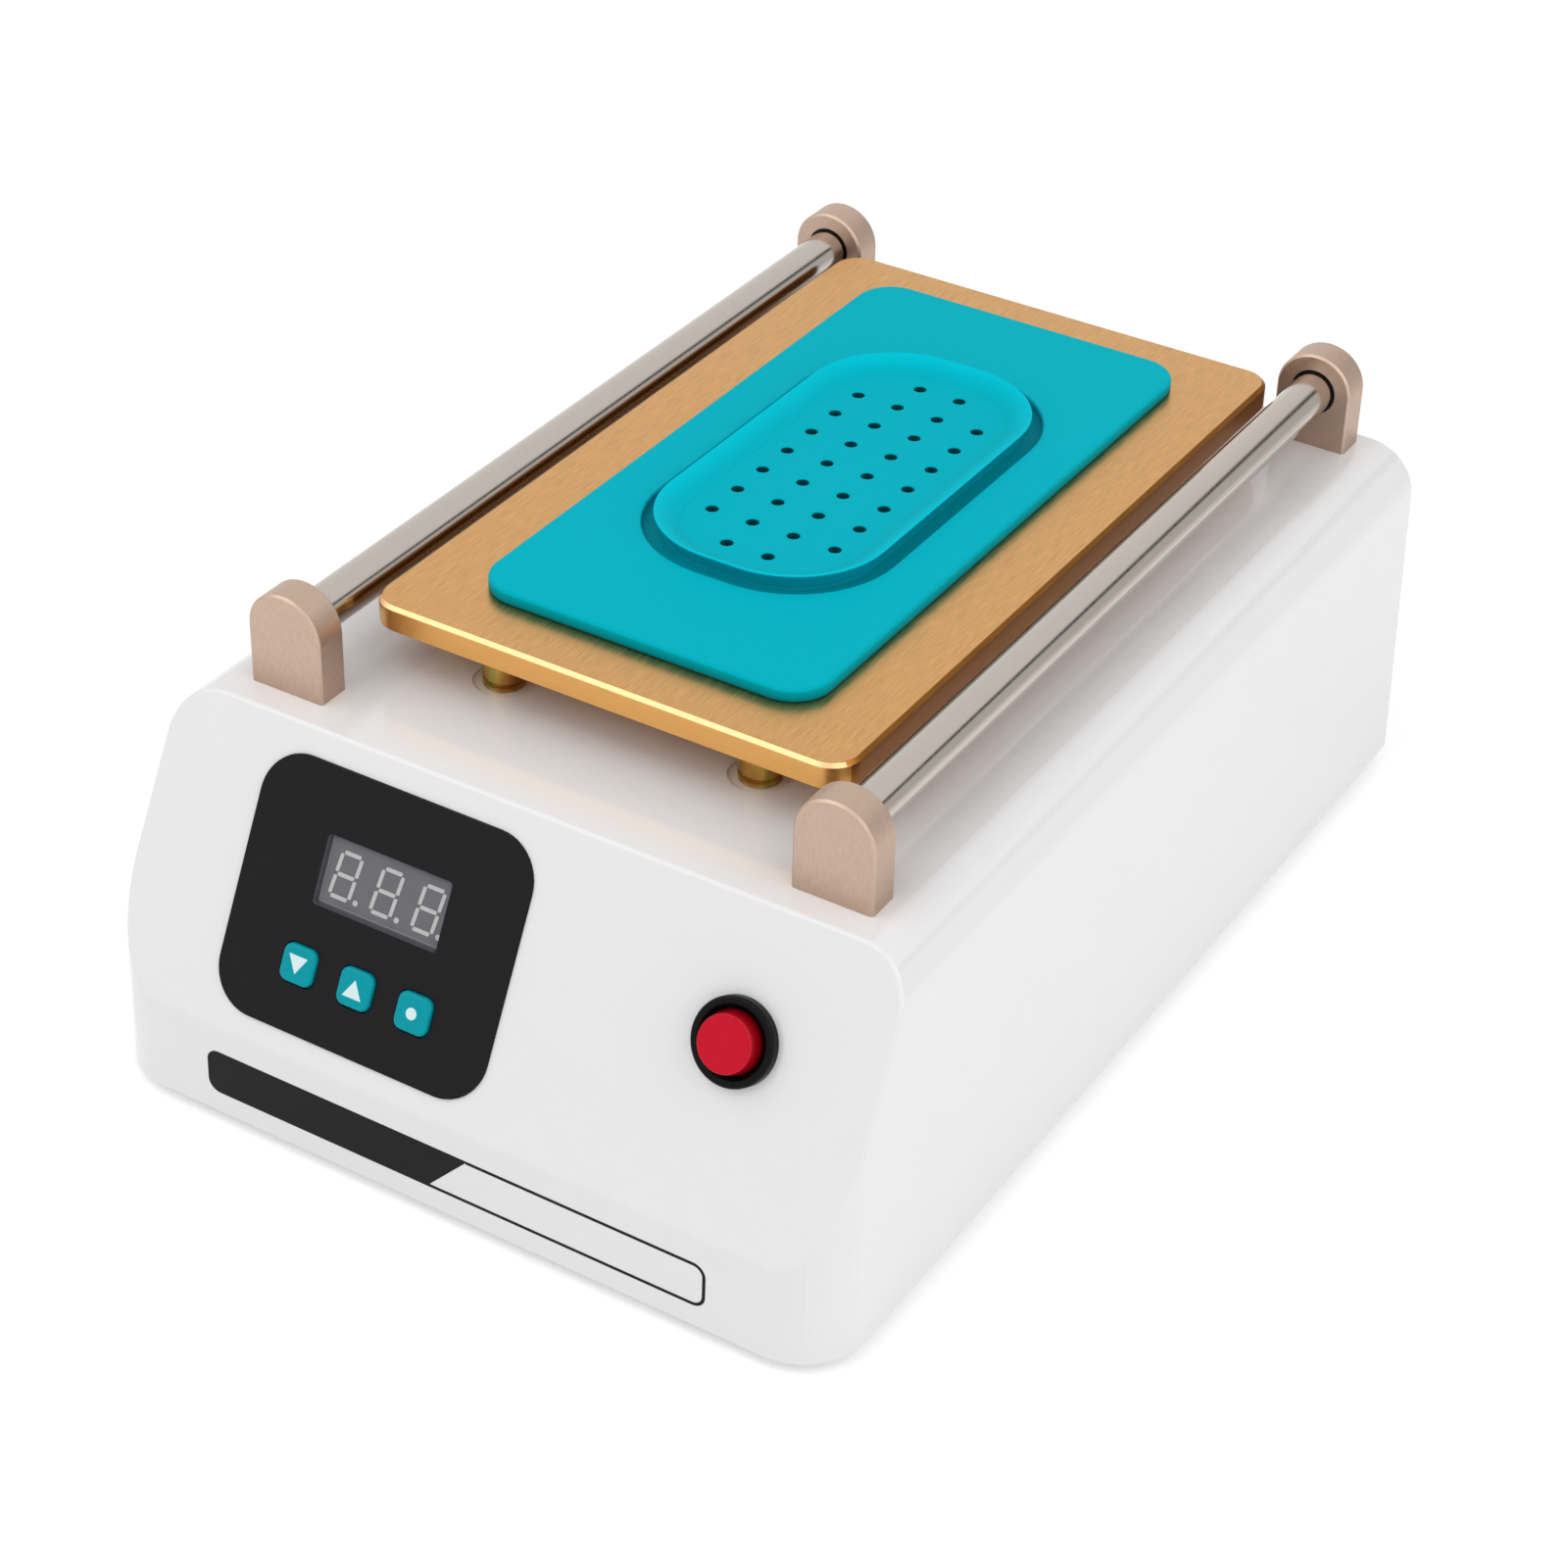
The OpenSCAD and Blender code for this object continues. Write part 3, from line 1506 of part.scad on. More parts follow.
housing_shell();
base_plate();
rubber_feet();
foot_screws();
base_screws();
post_front_left();
post_front_right();
post_rear_left();
post_rear_right();
post_screws();
roller_bushes();
roller_left();
roller_right();
heating_plate();
plate_standoffs();
standoff_screws();
silicone_mat();
heater_pad();
insulation_board();
insulation_screws();
temperature_sensor();
thermal_fuse();
vacuum_fitting();
hose_grommet();
lead_grommet();
vacuum_hose();
heater_leads();
control_panel();
display_module();
display_segments();
controller_board();
board_screws();
tact_switches();
key_down();
key_up();
key_set();
button_bezel();
push_button();
button_nut();
button_terminals();
inlet_socket();
inlet_pins();
inlet_screws();
switch_frame();
power_rocker();
switch_terminals();
power_board();
board_spacers();
spacer_screws();
transformer();
capacitors();
relay();
heat_sink();
terminal_block();
pump_bracket();
bracket_screws();
pump_motor();
pump_head();
pump_screws();
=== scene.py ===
"""The finished LCD screen separator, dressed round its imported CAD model."""

import json
import math

import bmesh
import bpy
from mathutils import Matrix, Vector
from mathutils.bvhtree import BVHTree
from mathutils.geometry import delaunay_2d_cdt

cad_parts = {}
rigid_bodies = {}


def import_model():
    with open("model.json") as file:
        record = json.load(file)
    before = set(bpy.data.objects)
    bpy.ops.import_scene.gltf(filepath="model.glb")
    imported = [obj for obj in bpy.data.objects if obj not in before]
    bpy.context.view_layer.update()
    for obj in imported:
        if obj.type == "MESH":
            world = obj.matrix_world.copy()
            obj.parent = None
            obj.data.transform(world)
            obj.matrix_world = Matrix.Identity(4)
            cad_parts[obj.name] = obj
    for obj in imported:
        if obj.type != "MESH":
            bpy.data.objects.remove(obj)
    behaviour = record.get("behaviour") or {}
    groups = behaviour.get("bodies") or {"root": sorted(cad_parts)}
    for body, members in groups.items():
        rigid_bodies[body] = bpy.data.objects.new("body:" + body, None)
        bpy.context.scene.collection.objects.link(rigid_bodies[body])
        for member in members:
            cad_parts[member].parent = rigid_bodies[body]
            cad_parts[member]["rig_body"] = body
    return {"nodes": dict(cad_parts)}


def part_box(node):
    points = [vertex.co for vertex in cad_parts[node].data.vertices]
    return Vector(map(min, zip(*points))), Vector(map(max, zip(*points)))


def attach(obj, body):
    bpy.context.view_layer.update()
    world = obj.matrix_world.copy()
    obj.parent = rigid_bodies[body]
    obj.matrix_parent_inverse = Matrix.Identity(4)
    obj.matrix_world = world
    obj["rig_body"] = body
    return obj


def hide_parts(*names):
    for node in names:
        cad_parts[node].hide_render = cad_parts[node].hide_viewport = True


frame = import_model()

bl_info = {
    "name": "LCD screen separator",
    "version": (1, 0, 0),
    "blender": (4, 5, 0),
    "location": "3D View > Sidebar > Separator",
    "description": "Dresses the packed separator with its finished surfaces and small parts",
    "category": "Object",
}

MM = 0.001
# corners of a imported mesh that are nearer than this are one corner
WELD = 1e-7
# faces whose normals agree this well lie in one flat
LEVEL = 0.99999
# how near a border may come in a flat's triangles before it counts as touching, in mm
TOUCH = 1e-4

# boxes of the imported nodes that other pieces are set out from
SHELL_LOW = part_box("housing_shell")[0]
PLATE_LOW, PLATE_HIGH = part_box("heating_plate")
MAT_LOW, MAT_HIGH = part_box("silicone_mat")

ACROSS, BACK, UP = Vector((1, 0, 0)), Vector((0, 1, 0)), Vector((0, 0, 1))
# the sloped face: its lower edge, the way up it and the way out of it
CREASE = Vector((0, -129.531, 25.4)) * MM
UP_FACE = Vector((0, 0.4512390, 0.8924031))
OUT_FACE = Vector((0, -0.8924031, 0.4512390))
# the upright faces lean in by the draft of the moulding
DRAFT = math.tan(math.radians(1.2))


def linear(code):
    """Turns an sRGB hex colour into Blender's linear one."""
    values = [int(code[i:i + 2], 16) / 255 for i in (1, 3, 5)]
    return (*[v / 12.92 if v <= 0.04045 else ((v + 0.055) / 1.055) ** 2.4 for v in values], 1.0)


def add(tree, kind, links=None, stops=(), **settings):
    """Adds a node: settings go to its properties, links to its sockets, as values or outputs,
    and stops, pairs of place and colour in rising order, to its ramp."""
    node = tree.nodes.new(kind)
    for name, value in settings.items():
        setattr(node, name, value)
    for name, value in (links or {}).items():
        if isinstance(value, bpy.types.NodeSocket):
            tree.links.new(value, node.inputs[name])
        else:
            node.inputs[name].default_value = value
    for number, (at, colour) in enumerate(stops):
        ramp = node.color_ramp.elements
        stop = ramp[number] if number < len(ramp) else ramp.new(at)
        stop.position = at
        stop.color = colour
    return node


def cleared(block):
    """The emptied tree of a material or a world."""
    block.use_nodes = True
    block.node_tree.nodes.clear()
    return block.node_tree


def linked(name, data):
    """A new object in the scene."""
    thing = bpy.data.objects.new(name, data)
    bpy.context.scene.collection.objects.link(thing)
    return thing


# sizes and colours that a user would change

class SeparatorLook(bpy.types.PropertyGroup):
    """Colours and edge sizes of the finished separator."""
    shell_colour: bpy.props.FloatVectorProperty(
        name="Housing", description="Colour of the moulded housing", subtype="COLOR", size=4,
        default=linear("#EBEAEB"), min=0, max=1)
    plate_colour: bpy.props.FloatVectorProperty(
        name="Plate", description="Colour of the anodised plate", subtype="COLOR", size=4,
        default=linear("#CF9F66"), min=0, max=1)
    mat_colour: bpy.props.FloatVectorProperty(
        name="Mat", description="Colour of the silicone mat", subtype="COLOR", size=4,
        default=linear("#00B4C5"), min=0, max=1)
    cap_colour: bpy.props.FloatVectorProperty(
        name="Cap", description="Colour of the push button's cap", subtype="COLOR", size=4,
        default=linear("#C9142A"), min=0, max=1)
    face_edge: bpy.props.FloatProperty(
        name="Face edge", description="Radius of the edge round the sloped face",
        default=1.2 * MM, min=0.2 * MM, max=3 * MM, unit="LENGTH")
    crease_edge: bpy.props.FloatProperty(
        name="Crease", description="Radius of the soft crease below the sloped face",
        default=5.0 * MM, min=0.5 * MM, max=10 * MM, unit="LENGTH")
    mat_edge: bpy.props.FloatProperty(
        name="Mat edge", description="Radius of the mat's outer edge",
        default=0.8 * MM, min=0.2 * MM, max=1.4 * MM, unit="LENGTH")
    sheen_line: bpy.props.FloatProperty(
        name="Grain", description="Width of a brushed line on the plate",
        default=0.38 * MM, min=0.1 * MM, max=2 * MM, unit="LENGTH")


def look():
    """The sizes and colours as they are set."""
    return bpy.context.scene.separator_look


# materials

def finish(name, colour, roughness, metallic=0.0, ior=1.5, grain=0.6, stretch=(1, 1, 1),
           depth=0.004, tone=0.03, spread=0.04, detail=3.0, bands=None, **more):
    """A material whose process leaves a grain: its size, stretch and depth are in mm,
    tone is how far it shades the colour and spread how far it moves the roughness.
    bands, where given, adds the colour's nodes instead, from the tree and the place on the piece."""
    made = bpy.data.materials.get(name)
    if made:
        return made
    made = bpy.data.materials.new(name)
    tree = cleared(made)
    at = add(tree, "ShaderNodeTexCoord").outputs["Object"]
    laid = add(tree, "ShaderNodeMapping",
               {"Vector": at, "Scale": tuple(1 / s for s in stretch)}).outputs["Vector"]
    noise = add(tree, "ShaderNodeTexNoise",
                {"Vector": laid, "Scale": 1 / (grain * MM), "Detail": detail}).outputs["Fac"]
    if bands:
        shade = bands(tree, at)
    else:
        colour = linear(colour) if isinstance(colour, str) else tuple(colour)
        dark = (*[c * (1 - tone) for c in colour[:3]], 1)
        light = (*[min(1, c * (1 + tone)) for c in colour[:3]], 1)
        shade = add(tree, "ShaderNodeMixRGB",
                    {"Fac": noise, "Color1": dark, "Color2": light}).outputs["Color"]
    rough = add(tree, "ShaderNodeMapRange", {
        "Value": noise, "From Min": 0.3, "From Max": 0.7,
        "To Min": max(0.02, roughness - spread), "To Max": roughness + spread})
    bump = add(tree, "ShaderNodeBump", {"Height": noise, "Distance": depth * MM, "Strength": 1.0})
    links = {"Base Color": shade, "Roughness": rough.outputs["Result"],
             "Normal": bump.outputs["Normal"], "Metallic": metallic}
    if not metallic:
        links["IOR"] = ior
    links.update(more)
    shader = add(tree, "ShaderNodeBsdfPrincipled", links)
    add(tree, "ShaderNodeOutputMaterial", {"Surface": shader.outputs["BSDF"]})
    return made


def moulded_abs():
    """ABS from a polished mould: glossy, with a slow ripple that softens what it mirrors."""
    return finish("abs_moulded_gloss", look().shell_colour, 0.11, ior=1.54, grain=9.0,
                  depth=0.004, tone=0.008, spread=0.02, detail=1.0)


def brushed_plate():
    """Aluminium brushed along its length, then anodised gold: short streaks over a soft mirror."""
    width = look().sheen_line / MM
    return finish("aluminium_brushed_gold", look().plate_colour, 0.33, metallic=1.0,
                  grain=width, stretch=(1, 16, 1), depth=0.003, tone=0.32, spread=0.05, detail=2.0)


def cut_and_highlight():
    """The plate's front bevel, cut with a diamond tool: clean and satin, and painted brighter as a
    painted highlight.
    """
    return finish("aluminium_cut_painted_highlight", "#E8BE8A", 0.36, metallic=1.0, grain=0.5,
                  stretch=(8, 1, 1), depth=0.002, tone=0.05, spread=0.03)


def plate_edge():
    """The milled and anodised front and underside of the plate, painted lighter than the top as painted
    light, so that the underside throws a warmer light onto the housing.
    """
    return finish("aluminium_milled_painted_light", "#DDA660", 0.32, metallic=1.0, grain=0.5,
                  stretch=(14, 14, 1), depth=0.003, tone=0.1, spread=0.04)


def plate_flank():
    """The plate's long sides, painted a darker bronze than the front as painted shade, going brown where
    they face away from the light.
    """
    return finish("aluminium_milled_painted_shade", "#A0692F", 0.34, metallic=1.0, grain=0.5,
                  stretch=(14, 14, 1), depth=0.003, tone=0.1, spread=0.04)


def blasted_post():
    """Aluminium blasted with glass beads and anodised champagne: an even fine sparkle.
    The real dimples are near 0.1 mm, drawn at 0.3 mm so that they show."""
    return finish("aluminium_bead_blasted", "#C1A998", 0.47, metallic=1.0, grain=0.3,
                  stretch=(1, 1, 5), depth=0.006, tone=0.2, spread=0.05, detail=2.0)


def ground_steel():
    """Centreless ground stainless steel: very fine lines round the bar and long soft mirrors."""
    return finish("steel_ground", "#BEB6AE", 0.16, metallic=1.0, grain=0.3,
                  stretch=(30, 1, 30), depth=0.0001, tone=0.06, spread=0.03)


def acetal():
    """Black acetal bush: satin, a little waxy."""
    return finish("acetal_black", "#0E0D0E", 0.4, ior=1.48, grain=0.5, depth=0.003,
                  **{"Specular IOR Level": 0.2})


def moulded_silicone():
    """Cast silicone rubber with a fine matt skin: a saturated colour that mirrors next to nothing.
    Its colour is painted by height: the thin lip paler as painted light, the moat, the field's border
    and the foot darker as painted shade."""
    # height above the foot in mm, and how much of the colour shows there: painted light above one,
    # painted shade below it
    painted_light_and_shade = ((0.0, 0.3), (1.0, 0.66), (2.5, 0.95), (2.86, 1.0), (2.9, 0.9), (3.0, 1.0), (3.4, 1.0),
              (5.5, 1.25))
    tall = 6.0
    colour = look().mat_colour[:3]

    def bands(tree, at):
        height = add(tree, "ShaderNodeSeparateXYZ", {"Vector": at}).outputs["Z"]
        share = add(tree, "ShaderNodeMapRange", {
            "Value": height, "From Min": MAT_LOW.z, "From Max": MAT_LOW.z + tall * MM})
        stops = [(level / tall, (*[c * much for c in colour], 1)) for level, much in painted_light_and_shade]
        ramp = add(tree, "ShaderNodeValToRGB", {"Fac": share.outputs["Result"]}, stops)
        return ramp.outputs["Color"]

    return finish("silicone_moulded", None, 0.5, ior=1.41, grain=0.5, depth=0.003, spread=0.05,
                  bands=bands, **{"Specular IOR Level": 0.03})


def shaded_silicone():
    """The same silicone painted dark inside the wells as painted shade, where next to no light gets down
    to the channel.
    """
    return finish("silicone_well_painted_shade", "#01525E", 0.6, ior=1.41, grain=0.5, depth=0.003,
                  **{"Specular IOR Level": 0.03})


def passivated_zinc():
    """Yellow passivated zinc on turned steel: slow bands of gold, green and rose."""
    # the size of a band in mm, and the colours that the film's thickness gives
    drift = 11.0
    film = ((0.3, "#A5733A"), (0.44, "#CFA85A"), (0.52, "#9C9A4C"), (0.6, "#C29A4E"), (0.72, "#A4623F"))

    def bands(tree, at):
        slow = add(tree, "ShaderNodeTexNoise", {
            "Vector": at, "Scale": 1 / (drift * MM), "Detail": 0.5})
        stops = [(thickness, linear(code)) for thickness, code in film]
        ramp = add(tree, "ShaderNodeValToRGB", {"Fac": slow.outputs["Fac"]}, stops)
        return ramp.outputs["Color"]

    return finish("zinc_yellow_passivated", None, 0.2, metallic=1.0, grain=0.35, stretch=(12, 12, 1),
                  depth=0.002, spread=0.04, bands=bands)


def bright_zinc():
    """Blue-white zinc plate on screws and the base: pale, slightly cloudy steel."""
    return finish("zinc_bright", "#B9BCBE", 0.3, metallic=1.0, grain=1.4, depth=0.002,
                  tone=0.06, spread=0.06)


def rubber():
    """Moulded rubber: nearly black and matt."""
    return finish("rubber_moulded", "#1E1E20", 0.7, ior=1.52, grain=0.4, depth=0.01, spread=0.08)


def printed_film():
    """Polycarbonate film printed black on its back, with a fine velvet front."""
    return finish("film_velvet_black", "#110F12", 0.45, ior=1.58, grain=0.35, depth=0.003,
                  tone=0.1, spread=0.05, **{"Specular IOR Level": 0.12})


def film_edge():
    """Cut edge of the film's clear window: dark grey, as the black print shows through it."""
    return finish("film_cut_edge", "#5A595E", 0.4, ior=1.58, grain=0.5, depth=0.002,
                  **{"Specular IOR Level": 0.2})


def smoked_lens():
    """Smoked acrylic over the digits: smooth, and deeper than it is dark."""
    return finish("acrylic_smoked", "#6C6C70", 0.3, ior=1.49, grain=4.0, depth=0.002,
                  tone=0.12, spread=0.02, **{"Specular IOR Level": 0.2})


def display_case():
    """Moulded case of the display: a darker grey than its lens."""
    return finish("polycarbonate_grey", "#58575C", 0.4, ior=1.58, grain=0.5, depth=0.003,
                  **{"Specular IOR Level": 0.2})


def lens_rim():
    """Polished rim of the lens, painted lighter as a painted highlight along its edge."""
    return finish("acrylic_rim_painted_highlight", "#85858A", 0.25, ior=1.49, grain=0.8, depth=0.002)


def unlit_segment():
    """Frosted light guide of a digit's bar, unlit."""
    return finish("light_guide_frosted", "#BDBDBD", 0.45, ior=1.49, grain=0.4, depth=0.002,
                  **{"Specular IOR Level": 0.2})


def key_silicone():
    """Translucent silicone key under a thin clear coat: deep cyan with sharp small lights."""
    return finish("silicone_key_cyan", "#0099A6", 0.28, ior=1.43, grain=0.8, depth=0.003,
                  tone=0.05, spread=0.04, **{"Specular IOR Level": 0.06, "Coat Weight": 0.12,
                                             "Coat Roughness": 0.08})


def key_ink():
    """White pad-printed ink on the keys."""
    return finish("ink_white", "#D9EEF0", 0.45, ior=1.5, grain=0.3, depth=0.001)


def label_ink():
    """Black silk-screen ink on the front band."""
    return finish("ink_black", "#0B0B0B", 0.4, ior=1.5, grain=0.3, depth=0.001,
                  **{"Specular IOR Level": 0.12})


def cap_plastic():
    """Tinted acrylic cap: clean, strong red."""
    return finish("acrylic_red", look().cap_colour, 0.2, ior=1.49, grain=1.5, depth=0.003,
                  tone=0.08, spread=0.03, **{"Specular IOR Level": 0.1})


def cap_flank():
    """Side of the acrylic cap: its red painted darker as painted shade, more so low down by the well."""
    # heights above the sloped face in mm, and the painted shade's colours from the one to the other
    foot, head = 1.2, 5.2
    painted_shade_stops = ((0.0, "#240104"), (0.5, "#86040F"), (0.95, "#A00818"))

    def bands(tree, at):
        face = CREASE.dot(OUT_FACE)
        height = add(tree, "ShaderNodeVectorMath", {0: at, 1: OUT_FACE}, operation="DOT_PRODUCT")
        share = add(tree, "ShaderNodeMapRange", {
            "Value": height.outputs["Value"], "From Min": face + foot * MM,
            "From Max": face + head * MM})
        stops = [(depth, linear(code)) for depth, code in painted_shade_stops]
        ramp = add(tree, "ShaderNodeValToRGB", {"Fac": share.outputs["Result"]}, stops)
        return ramp.outputs["Color"]

    return finish("acrylic_red_painted_shade", None, 0.16, ior=1.49, grain=1.5, depth=0.003, spread=0.03,
                  bands=bands, **{"Specular IOR Level": 0.2})


def black_nylon():
    """Glass-filled nylon of the switch, bezel and inlet: black, soft gloss."""
    return finish("nylon_black", "#0A0A0B", 0.34, ior=1.53, grain=0.5, depth=0.004,
                  spread=0.06, **{"Specular IOR Level": 0.1})


# finishes of the inner pieces, by slot: name, colour, roughness, metallic, grain and depth in mm
INNER = {
    # moulded silicone rubber, matt and orange-brown
    "heater_silicone": ("silicone_heater_red", "#B5562A", 0.55, 0.0, 0.7, 0.02),
    # pressed mica: dull gold flakes
    "insulation_board": ("mica_board", "#DE9648", 0.6, 0.0, 2.5, 0.02),
    # stamped brass dipped in tin: silvery and smooth
    "tinned_brass": ("brass_tinned", "#C9CCD0", 0.28, 1.0, 0.5, 0.003),
    # glazed ceramic: cream with a soft gloss
    "fuse_ceramic": ("ceramic_glazed", "#D8D3C4", 0.3, 0.0, 0.8, 0.004),
    # turned brass: warm and bright
    "brass": ("brass_turned", "#C8A552", 0.25, 1.0, 0.4, 0.003),
    # extruded silicone: milky and waxy
    "hose_silicone": ("silicone_hose_clear", "#D5DADD", 0.35, 0.0, 0.9, 0.004),
    # extruded silicone over wire: strong red, satin
    "lead_silicone": ("silicone_lead_red", "#C9352B", 0.42, 0.0, 0.4, 0.003),
    # glass laminate under solder mask: glossy green with a fine weave
    "circuit_board": ("laminate_green", "#1F6B3C", 0.38, 0.0, 0.5, 0.01),
    # wound polyester tape: smooth yellow
    "winding_tape": ("polyester_tape_yellow", "#C7A13A", 0.3, 0.0, 1.0, 0.02),
    # shrunk vinyl sleeve: dark and glossy
    "capacitor_sleeve": ("vinyl_sleeve", "#30343C", 0.3, 0.0, 0.8, 0.005),
    # moulded polyester: plain blue
    "relay_blue": ("polyester_case_blue", "#1F4FA0", 0.35, 0.0, 0.5, 0.004),
    # extruded aluminium anodised black: dark satin metal
    "heat_sink_black": ("aluminium_black_anodised", "#2E2F31", 0.45, 1.0, 0.3, 0.004),
    # moulded polyamide: leaf green
    "terminal_green": ("polyamide_green", "#3C7D4B", 0.4, 0.0, 0.5, 0.004),
    # phosphated steel sheet: cloudy grey
    "bracket_steel": ("steel_phosphated", "#6F7377", 0.5, 1.0, 0.8, 0.008),
    # nickel-plated steel can: bright, slightly clouded
    "motor_steel": ("steel_nickel_plated", "#B9BDC1", 0.25, 1.0, 0.6, 0.002),
}
# finishes of the pieces that are seen from outside, by slot
SHOWN = {
    "housing_abs": moulded_abs, "zinc_steel": bright_zinc, "rubber_black": rubber,
    "post_aluminium": blasted_post, "bush_acetal": acetal, "roller_steel": ground_steel,
    "plate_aluminium": brushed_plate, "standoff_zinc": passivated_zinc,
    "mat_silicone": moulded_silicone, "panel_film": printed_film, "display_lens": smoked_lens,
    "display_segments": unlit_segment, "switch_black": black_nylon, "key_cyan": key_silicone,
    "cap_red": cap_plastic,
}


def slot_material(slot):
    """The finish of one of the record's slots."""
    if slot in SHOWN:
        return SHOWN[slot]()
    name, colour, roughness, metallic, grain, depth = INNER[slot]
    return finish(name, colour, roughness, metallic=metallic, grain=grain, depth=depth)


# making and placing pieces

def slot_of(node):
    """The record's slot of a node, as its packed object names it."""
    return frame["nodes"][node].material_slots[0].material.name.split(".")[0]


def settle(piece):
    """Bakes a piece's modifiers into a plain mesh."""
    graph = bpy.context.evaluated_depsgraph_get()
    plain = bpy.data.meshes.new_from_object(piece.evaluated_get(graph))
    piece.modifiers.clear()
    piece.data = plain
    return piece


def place(name, mesh, node, *materials):
    """Puts a finished mesh in the scene as the piece that stands for a node."""
    piece = linked(name, mesh)
    for material in materials:
        mesh.materials.append(material)
    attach(piece, frame["nodes"][node]["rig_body"])
    slot_of(node)
    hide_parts(node)


def paint(mesh, choose):
    """Gives each face the material number that choose finds for it."""
    for face in mesh.polygons:
        face.material_index = choose(face)


def groups_of(things, beside):
    """Splits things into groups that hang together, where beside gives one's neighbours."""
    seen, groups = set(), []
    for first in things:
        if first in seen:
            continue
        seen.add(first)
        group, front = [], [first]
        while front:
            thing = front.pop()
            group.append(thing)
            for other in beside(thing):
                if other not in seen:
                    seen.add(other)
                    front.append(other)
        groups.append(group)
    return groups


def flat_weights(work):
    """How much each face counts in the shading: as much as the whole flat that it is part of."""
    def beside(face):
        return [other for edge in face.edges for other in edge.link_faces
                if face.normal.dot(other.normal) > LEVEL]

    least = 1e-9
    weights = {}
    for flat in groups_of(work.faces, beside):
        area = sum(face.calc_area() for face in flat)
        weights.update((face, (area / MM ** 2) ** 2 + least) for face in flat)
    return weights


def mesh_of(work, name, smooth):
    """Turns a bmesh into a mesh whose roundings, below an angle in degrees, run smoothly out of
    flats that are evenly shaded up to their edges."""
    def beside(corner):
        """The corners next to one at the same point, across smooth edges."""
        return [other if other.vert == corner.vert else other.link_loop_next
                for edge in (corner.edge, corner.link_loop_prev.edge) if edge.smooth
                for other in edge.link_loops]

    for edge in work.edges:
        edge.smooth = len(edge.link_faces) == 2 and edge.calc_face_angle(0) < math.radians(smooth)
    corners = {}
    for face in work.faces:
        face.smooth = True
        for corner in face.loops:
            corners[corner] = len(corners)
    weights = flat_weights(work)
    normals = [None] * len(corners)
    for vertex in work.verts:
        for fan in groups_of(vertex.link_loops, beside):
            normal = sum((c.face.normal * weights[c.face] * c.calc_angle() for c in fan), Vector())
            for corner in fan:
                normals[corners[corner]] = normal.normalized() if normal.length else corner.face.normal
    mesh = bpy.data.meshes.new(name)
    work.to_mesh(mesh)
    mesh.normals_split_custom_set(normals)
    work.free()
    return mesh


def merged(node):
    """A copy of a node's mesh with its corners joined and its flats made whole."""
    same_flat = math.radians(0.3)
    work = bmesh.new()
    work.from_mesh(frame["nodes"][node].data)
    bmesh.ops.remove_doubles(work, verts=work.verts, dist=WELD)
    bmesh.ops.dissolve_limit(work, angle_limit=same_flat, verts=work.verts, edges=work.edges)
    return work


def dress(node, edge, segments=2, materials=None, choose=None):
    """Stands a copy of a node in its place, with its hard edges rounded by edge mm.
    choose gives one face's material number."""
    hard = math.radians(30)
    work = merged(node)
    layer = work.edges.layers.float.new("bevel_weight_edge")
    for line in work.edges:
        if len(line.link_faces) == 2 and line.calc_face_angle(0) > hard:
            line[layer] = 1.0
    plain = bpy.data.meshes.new(node)
    work.to_mesh(plain)
    work.free()
    piece = linked(node + ".plain", plain)
    bevel = piece.modifiers.new("edges", "BEVEL")
    bevel.limit_method = "WEIGHT"
    bevel.width = edge * MM
    bevel.segments = segments
    bevel.use_clamp_overlap = False
    bevel.miter_outer = "MITER_ARC"
    work = bmesh.new()
    work.from_mesh(settle(piece).data)
    bpy.data.objects.remove(piece)
    mesh = mesh_of(work, node + ".dressed", 50)
    if choose:
        paint(mesh, choose)
    place(node + ".dressed", mesh, node, *(materials or [slot_material(slot_of(node))]))


def rounded(wide, long, radius, steps=8):
    """Corners of a rounded rectangle about the middle, anticlockwise, in mm."""
    points = []
    for turn in range(4):
        x = (wide / 2 - radius) * (1 if turn in (0, 3) else -1)
        y = (long / 2 - radius) * (1 if turn in (0, 1) else -1)
        for k in range(steps + 1):
            angle = math.pi / 2 * (turn + k / steps)
            points.append((x + radius * math.cos(angle), y + radius * math.sin(angle)))
    return points


def skinned(rings, capped=True):
    """A skin through rings of points that have the same count, with or without its two ends."""
    work = bmesh.new()
    rows = [[work.verts.new(p) for p in ring] for ring in rings]
    for low, high in zip(rows, rows[1:]):
        for i in range(len(low)):
            work.faces.new((low[i - 1], low[i], high[i], high[i - 1]))
    if capped:
        work.faces.new(rows[0])
        work.faces.new(rows[-1])
    bmesh.ops.recalc_face_normals(work, faces=work.faces)
    return work


def circle(steps):
    """Points round a circle of radius 1."""
    angles = [2 * math.pi * k / steps for k in range(steps)]
    return [(math.cos(a), math.sin(a)) for a in angles]


def turned(profile, put, steps=48):
    """A turned piece: profile holds (radius, height) in mm, put places a point given in mm."""
    return skinned([[put(r * x, r * y, z) for x, y in circle(steps)] for r, z in profile])


def arc(middle, radius, start, end, steps):
    """Points of a rounding, from one angle to another in degrees."""
    angles = [math.radians(start + (end - start) * k / steps) for k in range(steps + 1)]
    return [(middle[0] + radius * math.cos(a), middle[1] + radius * math.sin(a)) for a in angles]


def placing(base, across, along, out):
    """A function that sets a point, given in mm along three ways, out from a base."""
    def put(x, y, z=0.0):
        return base + (across * x + along * y + out * z) * MM
    return put


def on_face(node):
    """Sets points on the sloped face round a node: across, up the face and out of it."""
    middle = crown(node, OUT_FACE)
    return placing(middle - OUT_FACE * (middle - CREASE).dot(OUT_FACE), ACROSS, UP_FACE, OUT_FACE)


def slab(outline, put, low, high):
    """A thin printed shape: its outline and two heights in mm, put places a point."""
    return skinned([[put(x, y, z) for x, y in outline] for z in (low, high)])


